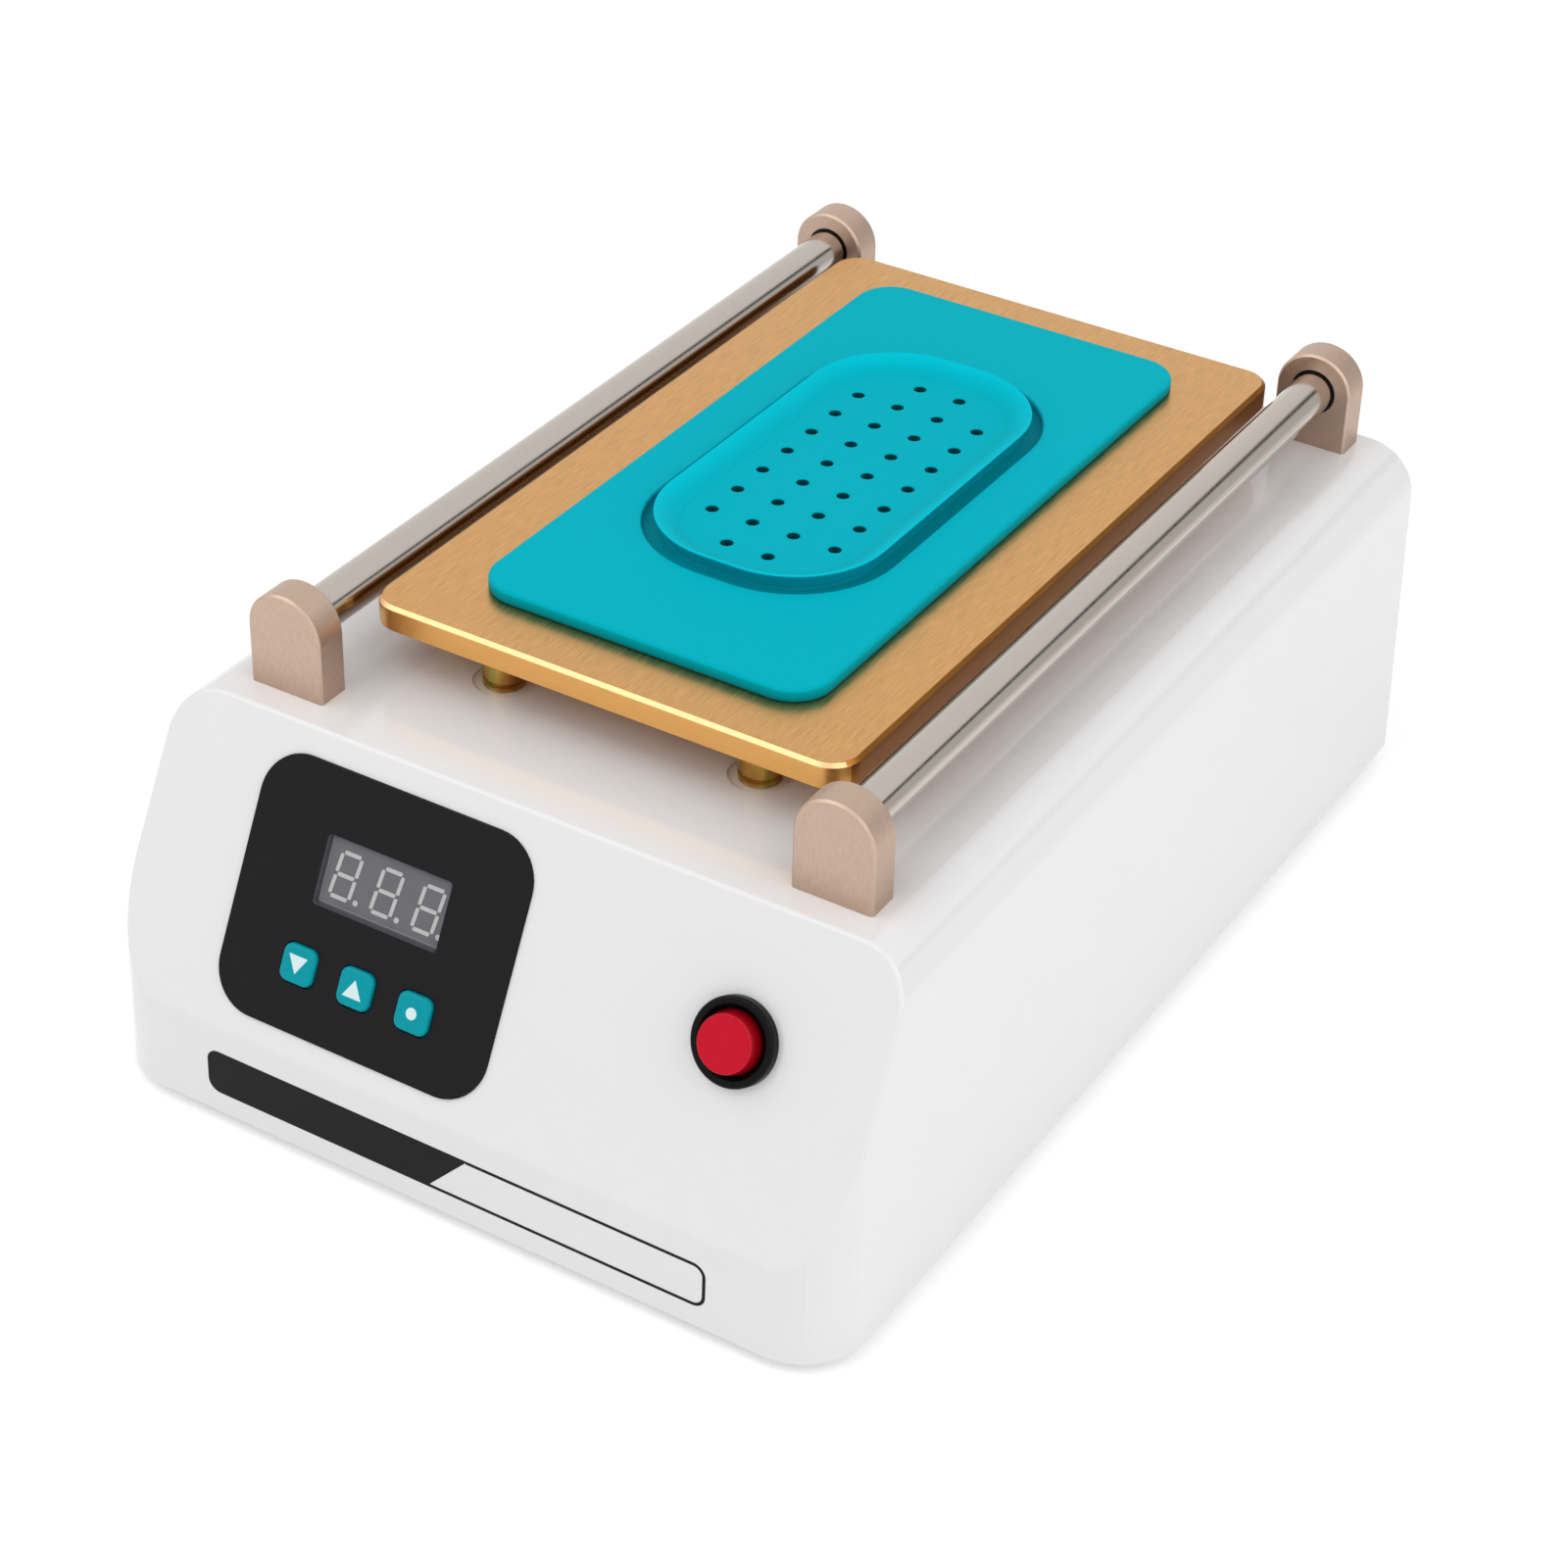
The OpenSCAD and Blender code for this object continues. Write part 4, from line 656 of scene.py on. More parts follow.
def strip(path, width, put, low, high):
    """A printed line along a path of points in mm."""
    rings = []
    for i, (x, y) in enumerate(path):
        before, after = path[max(i - 1, 0)], path[min(i + 1, len(path) - 1)]
        dx, dy = after[0] - before[0], after[1] - before[1]
        size = math.hypot(dx, dy)
        nx, ny = -dy / size * width / 2, dx / size * width / 2
        rings.append([put(x + nx, y + ny, low), put(x + nx, y + ny, high),
                      put(x - nx, y - ny, high), put(x - nx, y - ny, low)])
    return skinned(rings)


def joined(name, parts, smooth=40.0):
    """One mesh from several skins, each with the number of its material."""
    whole = bmesh.new()
    for work, number in parts:
        for face in work.faces:
            face.material_index = number
        part = bpy.data.meshes.new("part")
        work.to_mesh(part)
        work.free()
        whole.from_mesh(part)
        bpy.data.meshes.remove(part)
    return mesh_of(whole, name, smooth)


def crown(node, way):
    """The middle of a node's outermost flat along a direction."""
    slack = 0.01 * MM
    points = [v.co for v in frame["nodes"][node].data.vertices]
    most = max(p.dot(way) for p in points)
    flat = [p for p in points if p.dot(way) > most - slack]
    return Vector([(min(p[i] for p in flat) + max(p[i] for p in flat)) / 2 for i in range(3)])


def islands(node):
    """The separate solids of a node, each as a list of its corner points."""
    def beside(corner):
        return [edge.other_vert(corner) for edge in corner.link_edges]

    work = bmesh.new()
    work.from_mesh(frame["nodes"][node].data)
    bmesh.ops.remove_doubles(work, verts=work.verts, dist=WELD)
    found = [[corner.co.copy() for corner in solid] for solid in groups_of(work.verts, beside)]
    work.free()
    return found


# geometry trees

def start_tree(name, sizes):
    """Begins a geometry tree whose named inputs start at the given sizes."""
    tree = bpy.data.node_groups.new(name, "GeometryNodeTree")
    kinds = {int: "NodeSocketInt", float: "NodeSocketFloat", type(None): "NodeSocketMaterial"}
    tree.interface.new_socket("Points", in_out="INPUT", socket_type="NodeSocketGeometry")
    for label, size in sizes.items():
        socket = tree.interface.new_socket(label, in_out="INPUT", socket_type=kinds[type(size)])
        if size is not None:
            socket.default_value = size
    tree.interface.new_socket("Result", in_out="OUTPUT", socket_type="NodeSocketGeometry")
    return tree, add(tree, "NodeGroupInput").outputs


def end_tree(tree, given, parts, turn=(0, 0, 0)):
    """Ends a tree: its parts, joined, stand at each point as plain geometry in one material."""
    whole = add(tree, "GeometryNodeJoinGeometry")
    for part in parts:
        tree.links.new(part.outputs[0], whole.inputs[0])
    spread = add(tree, "GeometryNodeInstanceOnPoints", {
        "Points": given["Points"], "Instance": whole.outputs[0], "Rotation": turn})
    real = add(tree, "GeometryNodeRealizeInstances", {"Geometry": spread.outputs["Instances"]})
    dressed = add(tree, "GeometryNodeSetMaterial", {"Geometry": real.outputs[0],
                                                    "Material": given["Material"]})
    add(tree, "NodeGroupOutput", {"Result": dressed.outputs[0]})
    return tree


def grown(tree, points, material, ways=None, **sizes):
    """Runs a tree on points and gives back the plain mesh; ways turns each point's piece."""
    seed = bpy.data.meshes.new(tree.name)
    seed.from_pydata([tuple(p) for p in points], [], [])
    if ways:
        way = seed.attributes.new("way", "FLOAT_VECTOR", "POINT")
        for i, vector in enumerate(ways):
            way.data[i].vector = vector
    piece = linked(tree.name, seed)
    run = piece.modifiers.new("grow", "NODES")
    run.node_group = tree
    named = {item.name: item.identifier for item in tree.interface.items_tree
             if item.in_out == "INPUT"}
    run[named["Material"]] = material
    for label, size in sizes.items():
        run[named[label.replace("_", " ").title()]] = size
    mesh = settle(piece).data
    bpy.data.objects.remove(piece)
    return mesh


def screw_tree():
    """Pan head screws with a cross recess and a thread, one at each point, along its way."""
    made = bpy.data.node_groups.get("cross_screws")
    if made:
        return made
    tree, given = start_tree("cross_screws", {
        "Head Radius": 2.8 * MM, "Head Height": 2.0 * MM, "Shank Radius": 1.5 * MM,
        "Shank Length": 8.0 * MM, "Pitch": 0.7 * MM, "Material": None})
    radius, high = given["Head Radius"], given["Head Height"]
    # head: a cylinder whose outer side sinks towards its rim, there by 0.45 of its height
    head = add(tree, "GeometryNodeMeshCylinder", {
        "Vertices": 24, "Side Segments": 1, "Fill Segments": 4, "Radius": radius, "Depth": high})
    at = add(tree, "GeometryNodeInputPosition").outputs[0]
    flat = add(tree, "ShaderNodeVectorMath", {0: at, 1: (1, 1, 0)}, operation="MULTIPLY").outputs[0]
    far = add(tree, "ShaderNodeVectorMath", {0: flat}, operation="LENGTH").outputs["Value"]
    share = add(tree, "ShaderNodeMath", {0: far, 1: radius}, operation="DIVIDE").outputs[0]
    steep = add(tree, "ShaderNodeMath", {0: share, 1: 3.0}, operation="POWER").outputs[0]
    sink = add(tree, "ShaderNodeMath", {0: steep, 1: high}, operation="MULTIPLY").outputs[0]
    drop = add(tree, "ShaderNodeVectorMath", {0: (0, 0, 0.45), "Scale": sink}, operation="SCALE")
    level = add(tree, "ShaderNodeSeparateXYZ", {"Vector": at}).outputs["Z"]
    outer = add(tree, "ShaderNodeMath", {0: level, 1: 0.0}, operation="LESS_THAN").outputs[0]
    domed = add(tree, "GeometryNodeSetPosition", {
        "Geometry": head.outputs["Mesh"], "Offset": drop.outputs[0], "Selection": outer})
    # cross: two bars cut out of the head's outer side, in shares of the head's size
    cut = add(tree, "GeometryNodeMeshBoolean", {"Mesh 1": domed.outputs[0]},
              operation="DIFFERENCE", solver="MANIFOLD")
    lift = add(tree, "ShaderNodeVectorMath", {0: (0, 0, -0.5), "Scale": high}, operation="SCALE")
    lift = lift.outputs[0]
    size = add(tree, "ShaderNodeCombineXYZ", {"X": radius, "Y": radius, "Z": high}).outputs[0]
    for shares in ((1.15, 0.26, 1.0), (0.26, 1.15, 1.0)):
        bar = add(tree, "ShaderNodeVectorMath", {0: size, 1: shares}, operation="MULTIPLY")
        bar = add(tree, "GeometryNodeMeshCube", {"Size": bar.outputs[0]}).outputs["Mesh"]
        bar = add(tree, "GeometryNodeTransform", {
            "Geometry": bar, "Translation": lift, "Rotation": (0, 0, 0.2)})
        tree.links.new(bar.outputs[0], cut.inputs["Mesh 2"])
    head = add(tree, "GeometryNodeTransform", {"Geometry": cut.outputs["Mesh"], "Translation": lift})
    # shank: a core with a three-sided thread wound round it, which stops short of both ends
    radius, length = given["Shank Radius"], given["Shank Length"]
    thin = add(tree, "ShaderNodeMath", {0: radius, 1: 0.86}, operation="MULTIPLY").outputs[0]
    core = add(tree, "GeometryNodeMeshCylinder", {"Vertices": 16, "Depth": length, "Radius": thin})
    half = add(tree, "ShaderNodeVectorMath", {0: (0, 0, 0.5), "Scale": length}, operation="SCALE")
    core = add(tree, "GeometryNodeTransform", {
        "Geometry": core.outputs["Mesh"], "Translation": half.outputs[0]})
    ridge = add(tree, "ShaderNodeMath", {0: radius, 1: 0.15}, operation="MULTIPLY").outputs[0]
    root = add(tree, "ShaderNodeMath", {0: radius, 1: ridge}, operation="SUBTRACT").outputs[0]
    wound = add(tree, "ShaderNodeMath", {0: length, 1: 0.86}, operation="MULTIPLY").outputs[0]
    turns = add(tree, "ShaderNodeMath", {0: wound, 1: given["Pitch"]}, operation="DIVIDE").outputs[0]
    line = add(tree, "GeometryNodeCurveSpiral", {
        "Resolution": 16, "Rotations": turns, "Start Radius": root, "End Radius": root,
        "Height": wound})
    edge = add(tree, "GeometryNodeCurvePrimitiveCircle", {"Resolution": 3, "Radius": ridge})
    thread = add(tree, "GeometryNodeCurveToMesh", {
        "Curve": line.outputs["Curve"], "Profile Curve": edge.outputs["Curve"], "Fill Caps": True})
    gap = add(tree, "ShaderNodeVectorMath", {0: (0, 0, 0.07), "Scale": length}, operation="SCALE")
    thread = add(tree, "GeometryNodeTransform", {
        "Geometry": thread.outputs["Mesh"], "Translation": gap.outputs[0]})
    way = add(tree, "GeometryNodeInputNamedAttribute", {"Name": "way"}, data_type="FLOAT_VECTOR")
    turn = add(tree, "FunctionNodeAlignRotationToVector", {"Vector": way.outputs["Attribute"]},
               axis="Z")
    return end_tree(tree, given, (head, core, thread), turn.outputs["Rotation"])


def well_tree():
    """Suction wells: round holes with a slightly opened rim, sunk from each point."""
    tree, given = start_tree("suction_wells", {
        "Radius": 1.4 * MM, "Rim": 0.2 * MM, "Depth": 2.85 * MM, "Sides": 24, "Material": None})
    radius, rim = given["Radius"], given["Rim"]
    # wall: from the rim's foot down to the mat's foot
    deep = add(tree, "ShaderNodeMath", {0: given["Depth"], 1: rim}, operation="SUBTRACT").outputs[0]
    wall = add(tree, "GeometryNodeMeshCylinder", {
        "Vertices": given["Sides"], "Radius": radius, "Depth": deep}, fill_type="NONE")
    middle = add(tree, "ShaderNodeMath", {0: deep, 1: 0.5, 2: rim}, operation="MULTIPLY_ADD")
    down = add(tree, "ShaderNodeVectorMath", {0: (0, 0, -1), "Scale": middle.outputs[0]},
               operation="SCALE")
    wall = add(tree, "GeometryNodeTransform", {
        "Geometry": wall.outputs["Mesh"], "Translation": down.outputs[0]})
    # rim: a cone as high as it is wide
    wide = add(tree, "ShaderNodeMath", {0: radius, 1: rim}, operation="ADD").outputs[0]
    cone = add(tree, "GeometryNodeMeshCone", {
        "Vertices": given["Sides"], "Radius Bottom": radius, "Radius Top": wide, "Depth": rim},
        fill_type="NONE")
    down = add(tree, "ShaderNodeVectorMath", {0: (0, 0, -1), "Scale": rim}, operation="SCALE")
    cone = add(tree, "GeometryNodeTransform", {
        "Geometry": cone.outputs["Mesh"], "Translation": down.outputs[0]})
    return end_tree(tree, given, (wall, cone))


def digit_tree():
    """Seven-bar digits with their points, one at each point, flat and facing up."""
    tree, given = start_tree("digits", {
        "Digit Width": 5.6 * MM, "Digit Height": 9.7 * MM, "Bar Width": 0.85 * MM, "Gap": 0.12 * MM,
        "Slant": 0.0875, "Point Radius": 0.6 * MM, "Thickness": 0.12 * MM, "Material": None})
    # wide and high are the distances between the middles of neighbouring bars
    bar, tall, dot = given["Bar Width"], given["Digit Height"], given["Point Radius"]
    wide = add(tree, "ShaderNodeMath", {0: given["Digit Width"], 1: bar}, operation="SUBTRACT")
    wide = wide.outputs[0]
    high = add(tree, "ShaderNodeMath", {0: tall, 1: bar}, operation="SUBTRACT").outputs[0]
    high = add(tree, "ShaderNodeMath", {0: high, 1: 0.5}, operation="MULTIPLY").outputs[0]
    # a bar is a six-sided prism whose two points are drawn apart
    tip = add(tree, "ShaderNodeMath", {0: bar, 1: math.sqrt(3)}, operation="DIVIDE").outputs[0]
    free = add(tree, "ShaderNodeMath", {0: given["Gap"], 1: tip}, operation="ADD").outputs[0]
    at = add(tree, "GeometryNodeInputPosition").outputs[0]
    apart = add(tree, "ShaderNodeVectorMath", {0: at}, operation="SIGN").outputs[0]
    # three level bars in a column, four upright ones in a square
    lowest = add(tree, "ShaderNodeVectorMath", {0: (0, -1, 0), "Scale": high}, operation="SCALE")
    step = add(tree, "ShaderNodeCombineXYZ", {"Y": high}).outputs[0]
    column = add(tree, "GeometryNodeMeshLine", {
        "Count": 3, "Start Location": lowest.outputs[0], "Offset": step})
    square = add(tree, "GeometryNodeMeshGrid", {
        "Size X": wide, "Size Y": high, "Vertices X": 2, "Vertices Y": 2})
    bars = add(tree, "GeometryNodeJoinGeometry")
    for length, places, turn in ((wide, column, 0), (high, square, math.pi / 2)):
        prism = add(tree, "GeometryNodeMeshCylinder", {
            "Vertices": 6, "Radius": tip, "Depth": given["Thickness"]}).outputs["Mesh"]
        reach = add(tree, "ShaderNodeMath", {0: length, 1: 0.5}, operation="MULTIPLY").outputs[0]
        reach = add(tree, "ShaderNodeMath", {0: reach, 1: free}, operation="SUBTRACT").outputs[0]
        reach = add(tree, "ShaderNodeCombineXYZ", {"X": reach}).outputs[0]
        pull = add(tree, "ShaderNodeVectorMath", {0: apart, 1: reach}, operation="MULTIPLY")
        drawn = add(tree, "GeometryNodeSetPosition", {"Geometry": prism, "Offset": pull.outputs[0]})
        laid = add(tree, "GeometryNodeInstanceOnPoints", {
            "Points": places.outputs["Mesh"], "Instance": drawn.outputs[0], "Rotation": (0, 0, turn)})
        tree.links.new(laid.outputs["Instances"], bars.inputs[0])
    # the bars lean to the right, the point beside their foot stays round
    real = add(tree, "GeometryNodeRealizeInstances", {"Geometry": bars.outputs[0]}).outputs[0]
    at = add(tree, "GeometryNodeInputPosition").outputs[0]
    level = add(tree, "ShaderNodeSeparateXYZ", {"Vector": at}).outputs["Y"]
    lean = add(tree, "ShaderNodeMath", {0: level, 1: given["Slant"]}, operation="MULTIPLY").outputs[0]
    lean = add(tree, "ShaderNodeCombineXYZ", {"X": lean}).outputs[0]
    slanted = add(tree, "GeometryNodeSetPosition", {"Geometry": real, "Offset": lean})
    point = add(tree, "GeometryNodeMeshCylinder", {
        "Vertices": 20, "Radius": dot, "Depth": given["Thickness"]}).outputs["Mesh"]
    foot = add(tree, "ShaderNodeMath", {0: tall, 1: -0.5, 2: dot}, operation="MULTIPLY_ADD")
    beside = add(tree, "ShaderNodeMath", {0: given["Digit Width"], 1: 0.5}, operation="MULTIPLY")
    beside = add(tree, "ShaderNodeMath", {0: dot, 1: 1.33, 2: beside.outputs[0]},
                 operation="MULTIPLY_ADD")
    spot = add(tree, "ShaderNodeCombineXYZ", {"X": beside.outputs[0], "Y": foot.outputs[0]})
    point = add(tree, "GeometryNodeTransform", {"Geometry": point, "Translation": spot.outputs[0]})
    return end_tree(tree, given, (slanted, point))


def fasteners(node, axis):
    """Cross-head screws in the places of a node's plain ones, which lie along an axis."""
    axis = Vector(axis).normalized()
    side = axis.orthogonal().normalized()
    other = axis.cross(side)
    end_slack, head_slack = 0.01 * MM, 0.05 * MM
    groups = {}
    for solid in islands(node):
        middle = Vector()
        for way in (side, other):
            spans = [p.dot(way) for p in solid]
            middle += way * (min(spans) + max(spans)) / 2
        # each corner's height along the screw and its distance from the screw's line
        corners = sorted((p.dot(axis), (p - axis * p.dot(axis) - middle).length) for p in solid)
        low, high = corners[0][0], corners[-1][0]
        wide = [max(r for h, r in corners if abs(h - end) < end_slack) for end in (low, high)]
        head_up = wide[1] > wide[0]
        seats = [h for h, r in corners if r > max(wide) - head_slack]
        seat = min(seats) if head_up else max(seats)
        foot, top = (low, high) if head_up else (high, low)
        size = (max(wide), abs(seat - top), min(wide), abs(foot - seat))
        key = tuple(round(length / MM, 2) for length in size)
        groups.setdefault(key, []).append((middle + axis * seat, -axis if head_up else axis))
    work = bmesh.new()
    metal = bright_zinc()
    for (head, thick, shank, length), places in groups.items():
        mesh = grown(screw_tree(), [p for p, way in places], metal, [way for p, way in places],
                     head_radius=head * MM, head_height=thick * MM, shank_radius=shank * MM,
                     shank_length=length * MM)
        work.from_mesh(mesh)
    bmesh.ops.recalc_face_normals(work, faces=work.faces)
    place(node + ".screws", mesh_of(work, node + ".screws", 35), node, metal)


# the housing's skin

def outer_form(shell):
    """The shell's outer form without its openings, as one closed mesh."""
    form = shell.copy()
    hull = set(bmesh.ops.convex_hull(form, input=form.verts)["geom"])
    bmesh.ops.delete(form, geom=[f for f in form.faces if f not in hull], context="FACES")
    bmesh.ops.delete(form, geom=[v for v in form.verts if not v.link_faces], context="VERTS")
    bmesh.ops.recalc_face_normals(form, faces=form.faces)
    return form


def rounded_rim(form):
    """Rounds the edge of the sloped face: softly at the crease, crisper up the sides."""
    sizes = look()
    steps = 6
    same_flat = math.radians(0.4)
    # edges that turn by less than gentle, in degrees, are the crease, by more than sharp the sides
    gentle, sharp = 25, 45
    bmesh.ops.dissolve_limit(form, angle_limit=same_flat, verts=form.verts, edges=form.edges)
    slope = max(form.faces, key=lambda f: f.normal.dot(OUT_FACE))
    corners = list(slope.verts)
    rows = []
    for corner in corners:
        beside = Vector()
        for face in corner.link_faces:
            if face is not slope and any(slope in e.link_faces for e in face.edges):
                beside += face.normal
        beside.normalize()
        half = OUT_FACE.angle(beside) / 2
        softness = min(1.0, max(0.0, (sharp - math.degrees(2 * half)) / (sharp - gentle)))
        radius = sizes.face_edge + softness * (sizes.crease_edge - sizes.face_edge)
        middle = corner.co - (OUT_FACE + beside).normalized() * radius / math.cos(half)
        rows.append([middle + radius * beside.slerp(OUT_FACE, k / steps) for k in range(steps + 1)])
    bmesh.ops.delete(form, geom=[slope], context="FACES_ONLY")
    for corner, row in zip(corners, rows):
        corner.co = row[0]
    rims = [corners] + [[form.verts.new(row[k]) for row in rows] for k in range(1, steps + 1)]
    for low, high in zip(rims, rims[1:]):
        for i in range(len(corners)):
            form.faces.new((low[i - 1], low[i], high[i], high[i - 1]))
    form.faces.new(rims[-1])
    bmesh.ops.recalc_face_normals(form, faces=form.faces)


def crossings(spot, points, edges):
    """How many edges a line from a spot to the right crosses."""
    x, y = spot
    count = 0
    for i, j in edges:
        a, b = points[i], points[j]
        if (a.y > y) != (b.y > y) and x < a.x + (y - a.y) / (b.y - a.y) * (b.x - a.x):
            count += 1
    return count


def pierce(form, rims):
    """Fills each flat that openings pierce with triangles round their rims, given as edges."""
    # no opening is in a flat with less area, and a rim this near to a flat lies in it
    smallest, on_flat = (8 * MM) ** 2, 0.001 * MM
    for face in list(form.faces):
        base, normal = face.verts[0].co, face.normal
        if face.calc_area() < smallest:
            continue
        mine = [e for e in rims if all(abs((p - base).dot(normal)) < on_flat for p in e)]
        if not mine:
            continue
        across = (face.verts[1].co - base).normalized()
        along = normal.cross(across)
        points = [v.co.copy() for v in face.verts]
        number = len(points)
        points += [p for e in mine for p in e]
        edges = [(i, (i + 1) % number) for i in range(number)]
        edges += [(number + 2 * i, number + 2 * i + 1) for i in range(len(mine))]
        flat = [Vector(((p - base).dot(across), (p - base).dot(along))) / MM for p in points]
        spots, _, triangles, sources, _, _ = delaunay_2d_cdt(flat, edges, [], 0, TOUCH)
        corners = [form.verts.new(points[source[0]]) for source in sources]
        for triangle in triangles:
            middle = sum((spots[i] for i in triangle), Vector((0, 0))) / 3
            if crossings(middle, flat, edges) % 2:
                form.faces.new([corners[i] for i in triangle])
        form.faces.remove(face)


# the mat's flats

def punched(work, outline, spots, radius, sides, put):
    """Fills an outline with a flat that round holes go through: all in mm, put places a point."""
    # a face whose middle is nearer than this to a hole's middle lies in the hole
    reach = radius * 0.98
    points, edges = list(outline), []
    for x, y in spots:
        first = len(points)
        points += [(x + radius * a, y + radius * b) for a, b in circle(sides)]
        edges += [(first + k, first + (k + 1) % sides) for k in range(sides)]
    flat, _, faces, _, _, _ = delaunay_2d_cdt(
        [Vector(p) for p in points], edges, [list(range(len(outline)))], 1, TOUCH)
    corners = [work.verts.new(put(*p)) for p in flat]
    for face in faces:
        x, y = sum((flat[i] for i in face), Vector((0, 0))) / len(face)
        if all(math.hypot(x - a, y - b) > reach for a, b in spots):
            work.faces.new([corners[i] for i in face])


# the stage

def seen_or_lit(tree, seen, lit):
    """One strength for what the camera, mirrors and glass see, another for the light it gives."""
    ray = add(tree, "ShaderNodeLightPath").outputs
    shown = add(tree, "ShaderNodeMath", {0: ray["Is Camera Ray"], 1: ray["Is Glossy Ray"]},
                operation="ADD").outputs[0]
    shown = add(tree, "ShaderNodeMath", {0: shown, 1: ray["Is Transmission Ray"]},
                operation="ADD").outputs[0]
    return add(tree, "ShaderNodeMapRange", {
        "Value": shown, "To Min": lit, "To Max": seen}).outputs["Result"]


def set_camera():
    """A camera at the photograph's place: its focal length, turn and place were fitted to it."""
    data = bpy.data.cameras.new("camera")
    data.lens = 82.18
    data.sensor_width = 36
    data.shift_x = 0.00018
    data.shift_y = -0.04277
    data.clip_start = 0.01
    data.clip_end = 20
    camera = linked("camera", data)
    right = Vector((0.85047, 0.52549, 0.02343))
    up = Vector((-0.30732, 0.46024, 0.83291))
    turn = Matrix((right, up, right.cross(up))).transposed().to_4x4()
    camera.matrix_world = Matrix.Translation(Vector((331.157, -560.081, 481.911)) * MM) @ turn
    bpy.context.scene.camera = camera


def lay_floor():
    """Matt white paper, which keeps the object's shadow and glows a little, so that it fades
    into the room."""
    half = 1.3
    sheet = bpy.data.meshes.new("floor")
    corners = [(-half, -half, 0), (half, -half, 0), (half, half, 0), (-half, half, 0)]
    sheet.from_pydata(corners, [], [(0, 1, 2, 3)])
    paper = bpy.data.materials.new("paper_white")
    tree = cleared(paper)
    matt = add(tree, "ShaderNodeBsdfDiffuse", {"Color": (0.92, 0.92, 0.92, 1)})
    lift = add(tree, "ShaderNodeEmission", {
        "Color": (1, 1, 1, 1), "Strength": seen_or_lit(tree, 0.3, 0.0)})
    both = add(tree, "ShaderNodeAddShader", {0: matt.outputs[0], 1: lift.outputs[0]})
    add(tree, "ShaderNodeOutputMaterial", {"Surface": both.outputs[0]})
    sheet.materials.append(paper)
    linked("floor", sheet)


def stand_card():
    """A grey card on the floor and up behind it, to the right, with a dark line near its top.
    Only mirrors see it, as the lines along the rollers."""
    near, far, low, high = 0.35, 1.25, 0.003, 0.8
    # ways from the middle to its sides, in degrees from straight behind to the right
    first_way, last_way, turn = -5, 85, 5
    ways = [math.radians(a) for a in range(first_way, last_way + 1, turn)]
    count = len(ways)
    sheet = bpy.data.meshes.new("reflection_card")
    sheet.from_pydata(
        [(r * math.sin(a), r * math.cos(a), z)
         for r, z in ((near, low), (far, low), (far, high)) for a in ways], [],
        [(row + k, row + k + 1, row + k + 1 + count, row + k + count)
         for row in (0, count) for k in range(count - 1)])
    # how far along the card, from its near edge (0) over the bend (0.5) to its top (1)
    greys = ((0.0, 1.0), (0.4, 0.71), (0.81, 0.71), (0.85, 0.06), (0.93, 0.06), (0.98, 1.0))
    cloth = bpy.data.materials.new("card_grey")
    tree = cleared(cloth)
    at = add(tree, "ShaderNodeTexCoord").outputs["Object"]
    flat = add(tree, "ShaderNodeVectorMath", {0: at, 1: (1, 1, 0)}, operation="MULTIPLY").outputs[0]
    out = add(tree, "ShaderNodeVectorMath", {0: flat}, operation="LENGTH").outputs["Value"]
    out = add(tree, "ShaderNodeMapRange", {
        "Value": out, "From Min": near, "From Max": far, "To Max": 0.5}).outputs["Result"]
    up = add(tree, "ShaderNodeSeparateXYZ", {"Vector": at}).outputs["Z"]
    up = add(tree, "ShaderNodeMapRange", {
        "Value": up, "From Min": low, "From Max": high, "To Max": 0.5}).outputs["Result"]
    along = add(tree, "ShaderNodeMath", {0: out, 1: up}, operation="ADD").outputs[0]
    shade = add(tree, "ShaderNodeValToRGB", {"Fac": along},
                [(share, (grey, grey, grey, 1)) for share, grey in greys]).outputs["Color"]
    glow = add(tree, "ShaderNodeEmission", {"Color": shade})
    add(tree, "ShaderNodeOutputMaterial", {"Surface": glow.outputs[0]})
    sheet.materials.append(cloth)
    card = linked("reflection_card", sheet)
    for ray in ("camera", "diffuse", "transmission", "volume_scatter", "shadow"):
        setattr(card, "visible_" + ray, False)


def light_room():
    """An even white room, dimmer for what it lights than for what mirrors it, and two softboxes."""
    world = bpy.data.worlds.new("room")
    bpy.context.scene.world = world
    tree = cleared(world)
    glow = add(tree, "ShaderNodeBackground", {
        "Color": (1, 1, 1, 1), "Strength": seen_or_lit(tree, 1.0, 0.62)})
    add(tree, "ShaderNodeOutputWorld", {"Surface": glow.outputs[0]})
    middle = Vector((0, 0, 0.06))
    # name, way from the object, distance and size in metres, watts
    for name, way, far, size, power in (
            ("key_softbox", (-0.45, -0.5, 0.8), 1.3, 1.2, 5.0),
            ("fill_softbox", (0.9, -0.2, 0.7), 1.4, 1.6, 7.4)):
        lamp = bpy.data.lights.new(name, "AREA")
        lamp.shape = "SQUARE"
        lamp.size = size
        lamp.energy = power
        box = linked(name, lamp)
        way = Vector(way).normalized()
        box.location = middle + way * far
        box.rotation_euler = way.to_track_quat("Z", "Y").to_euler()


# the operators

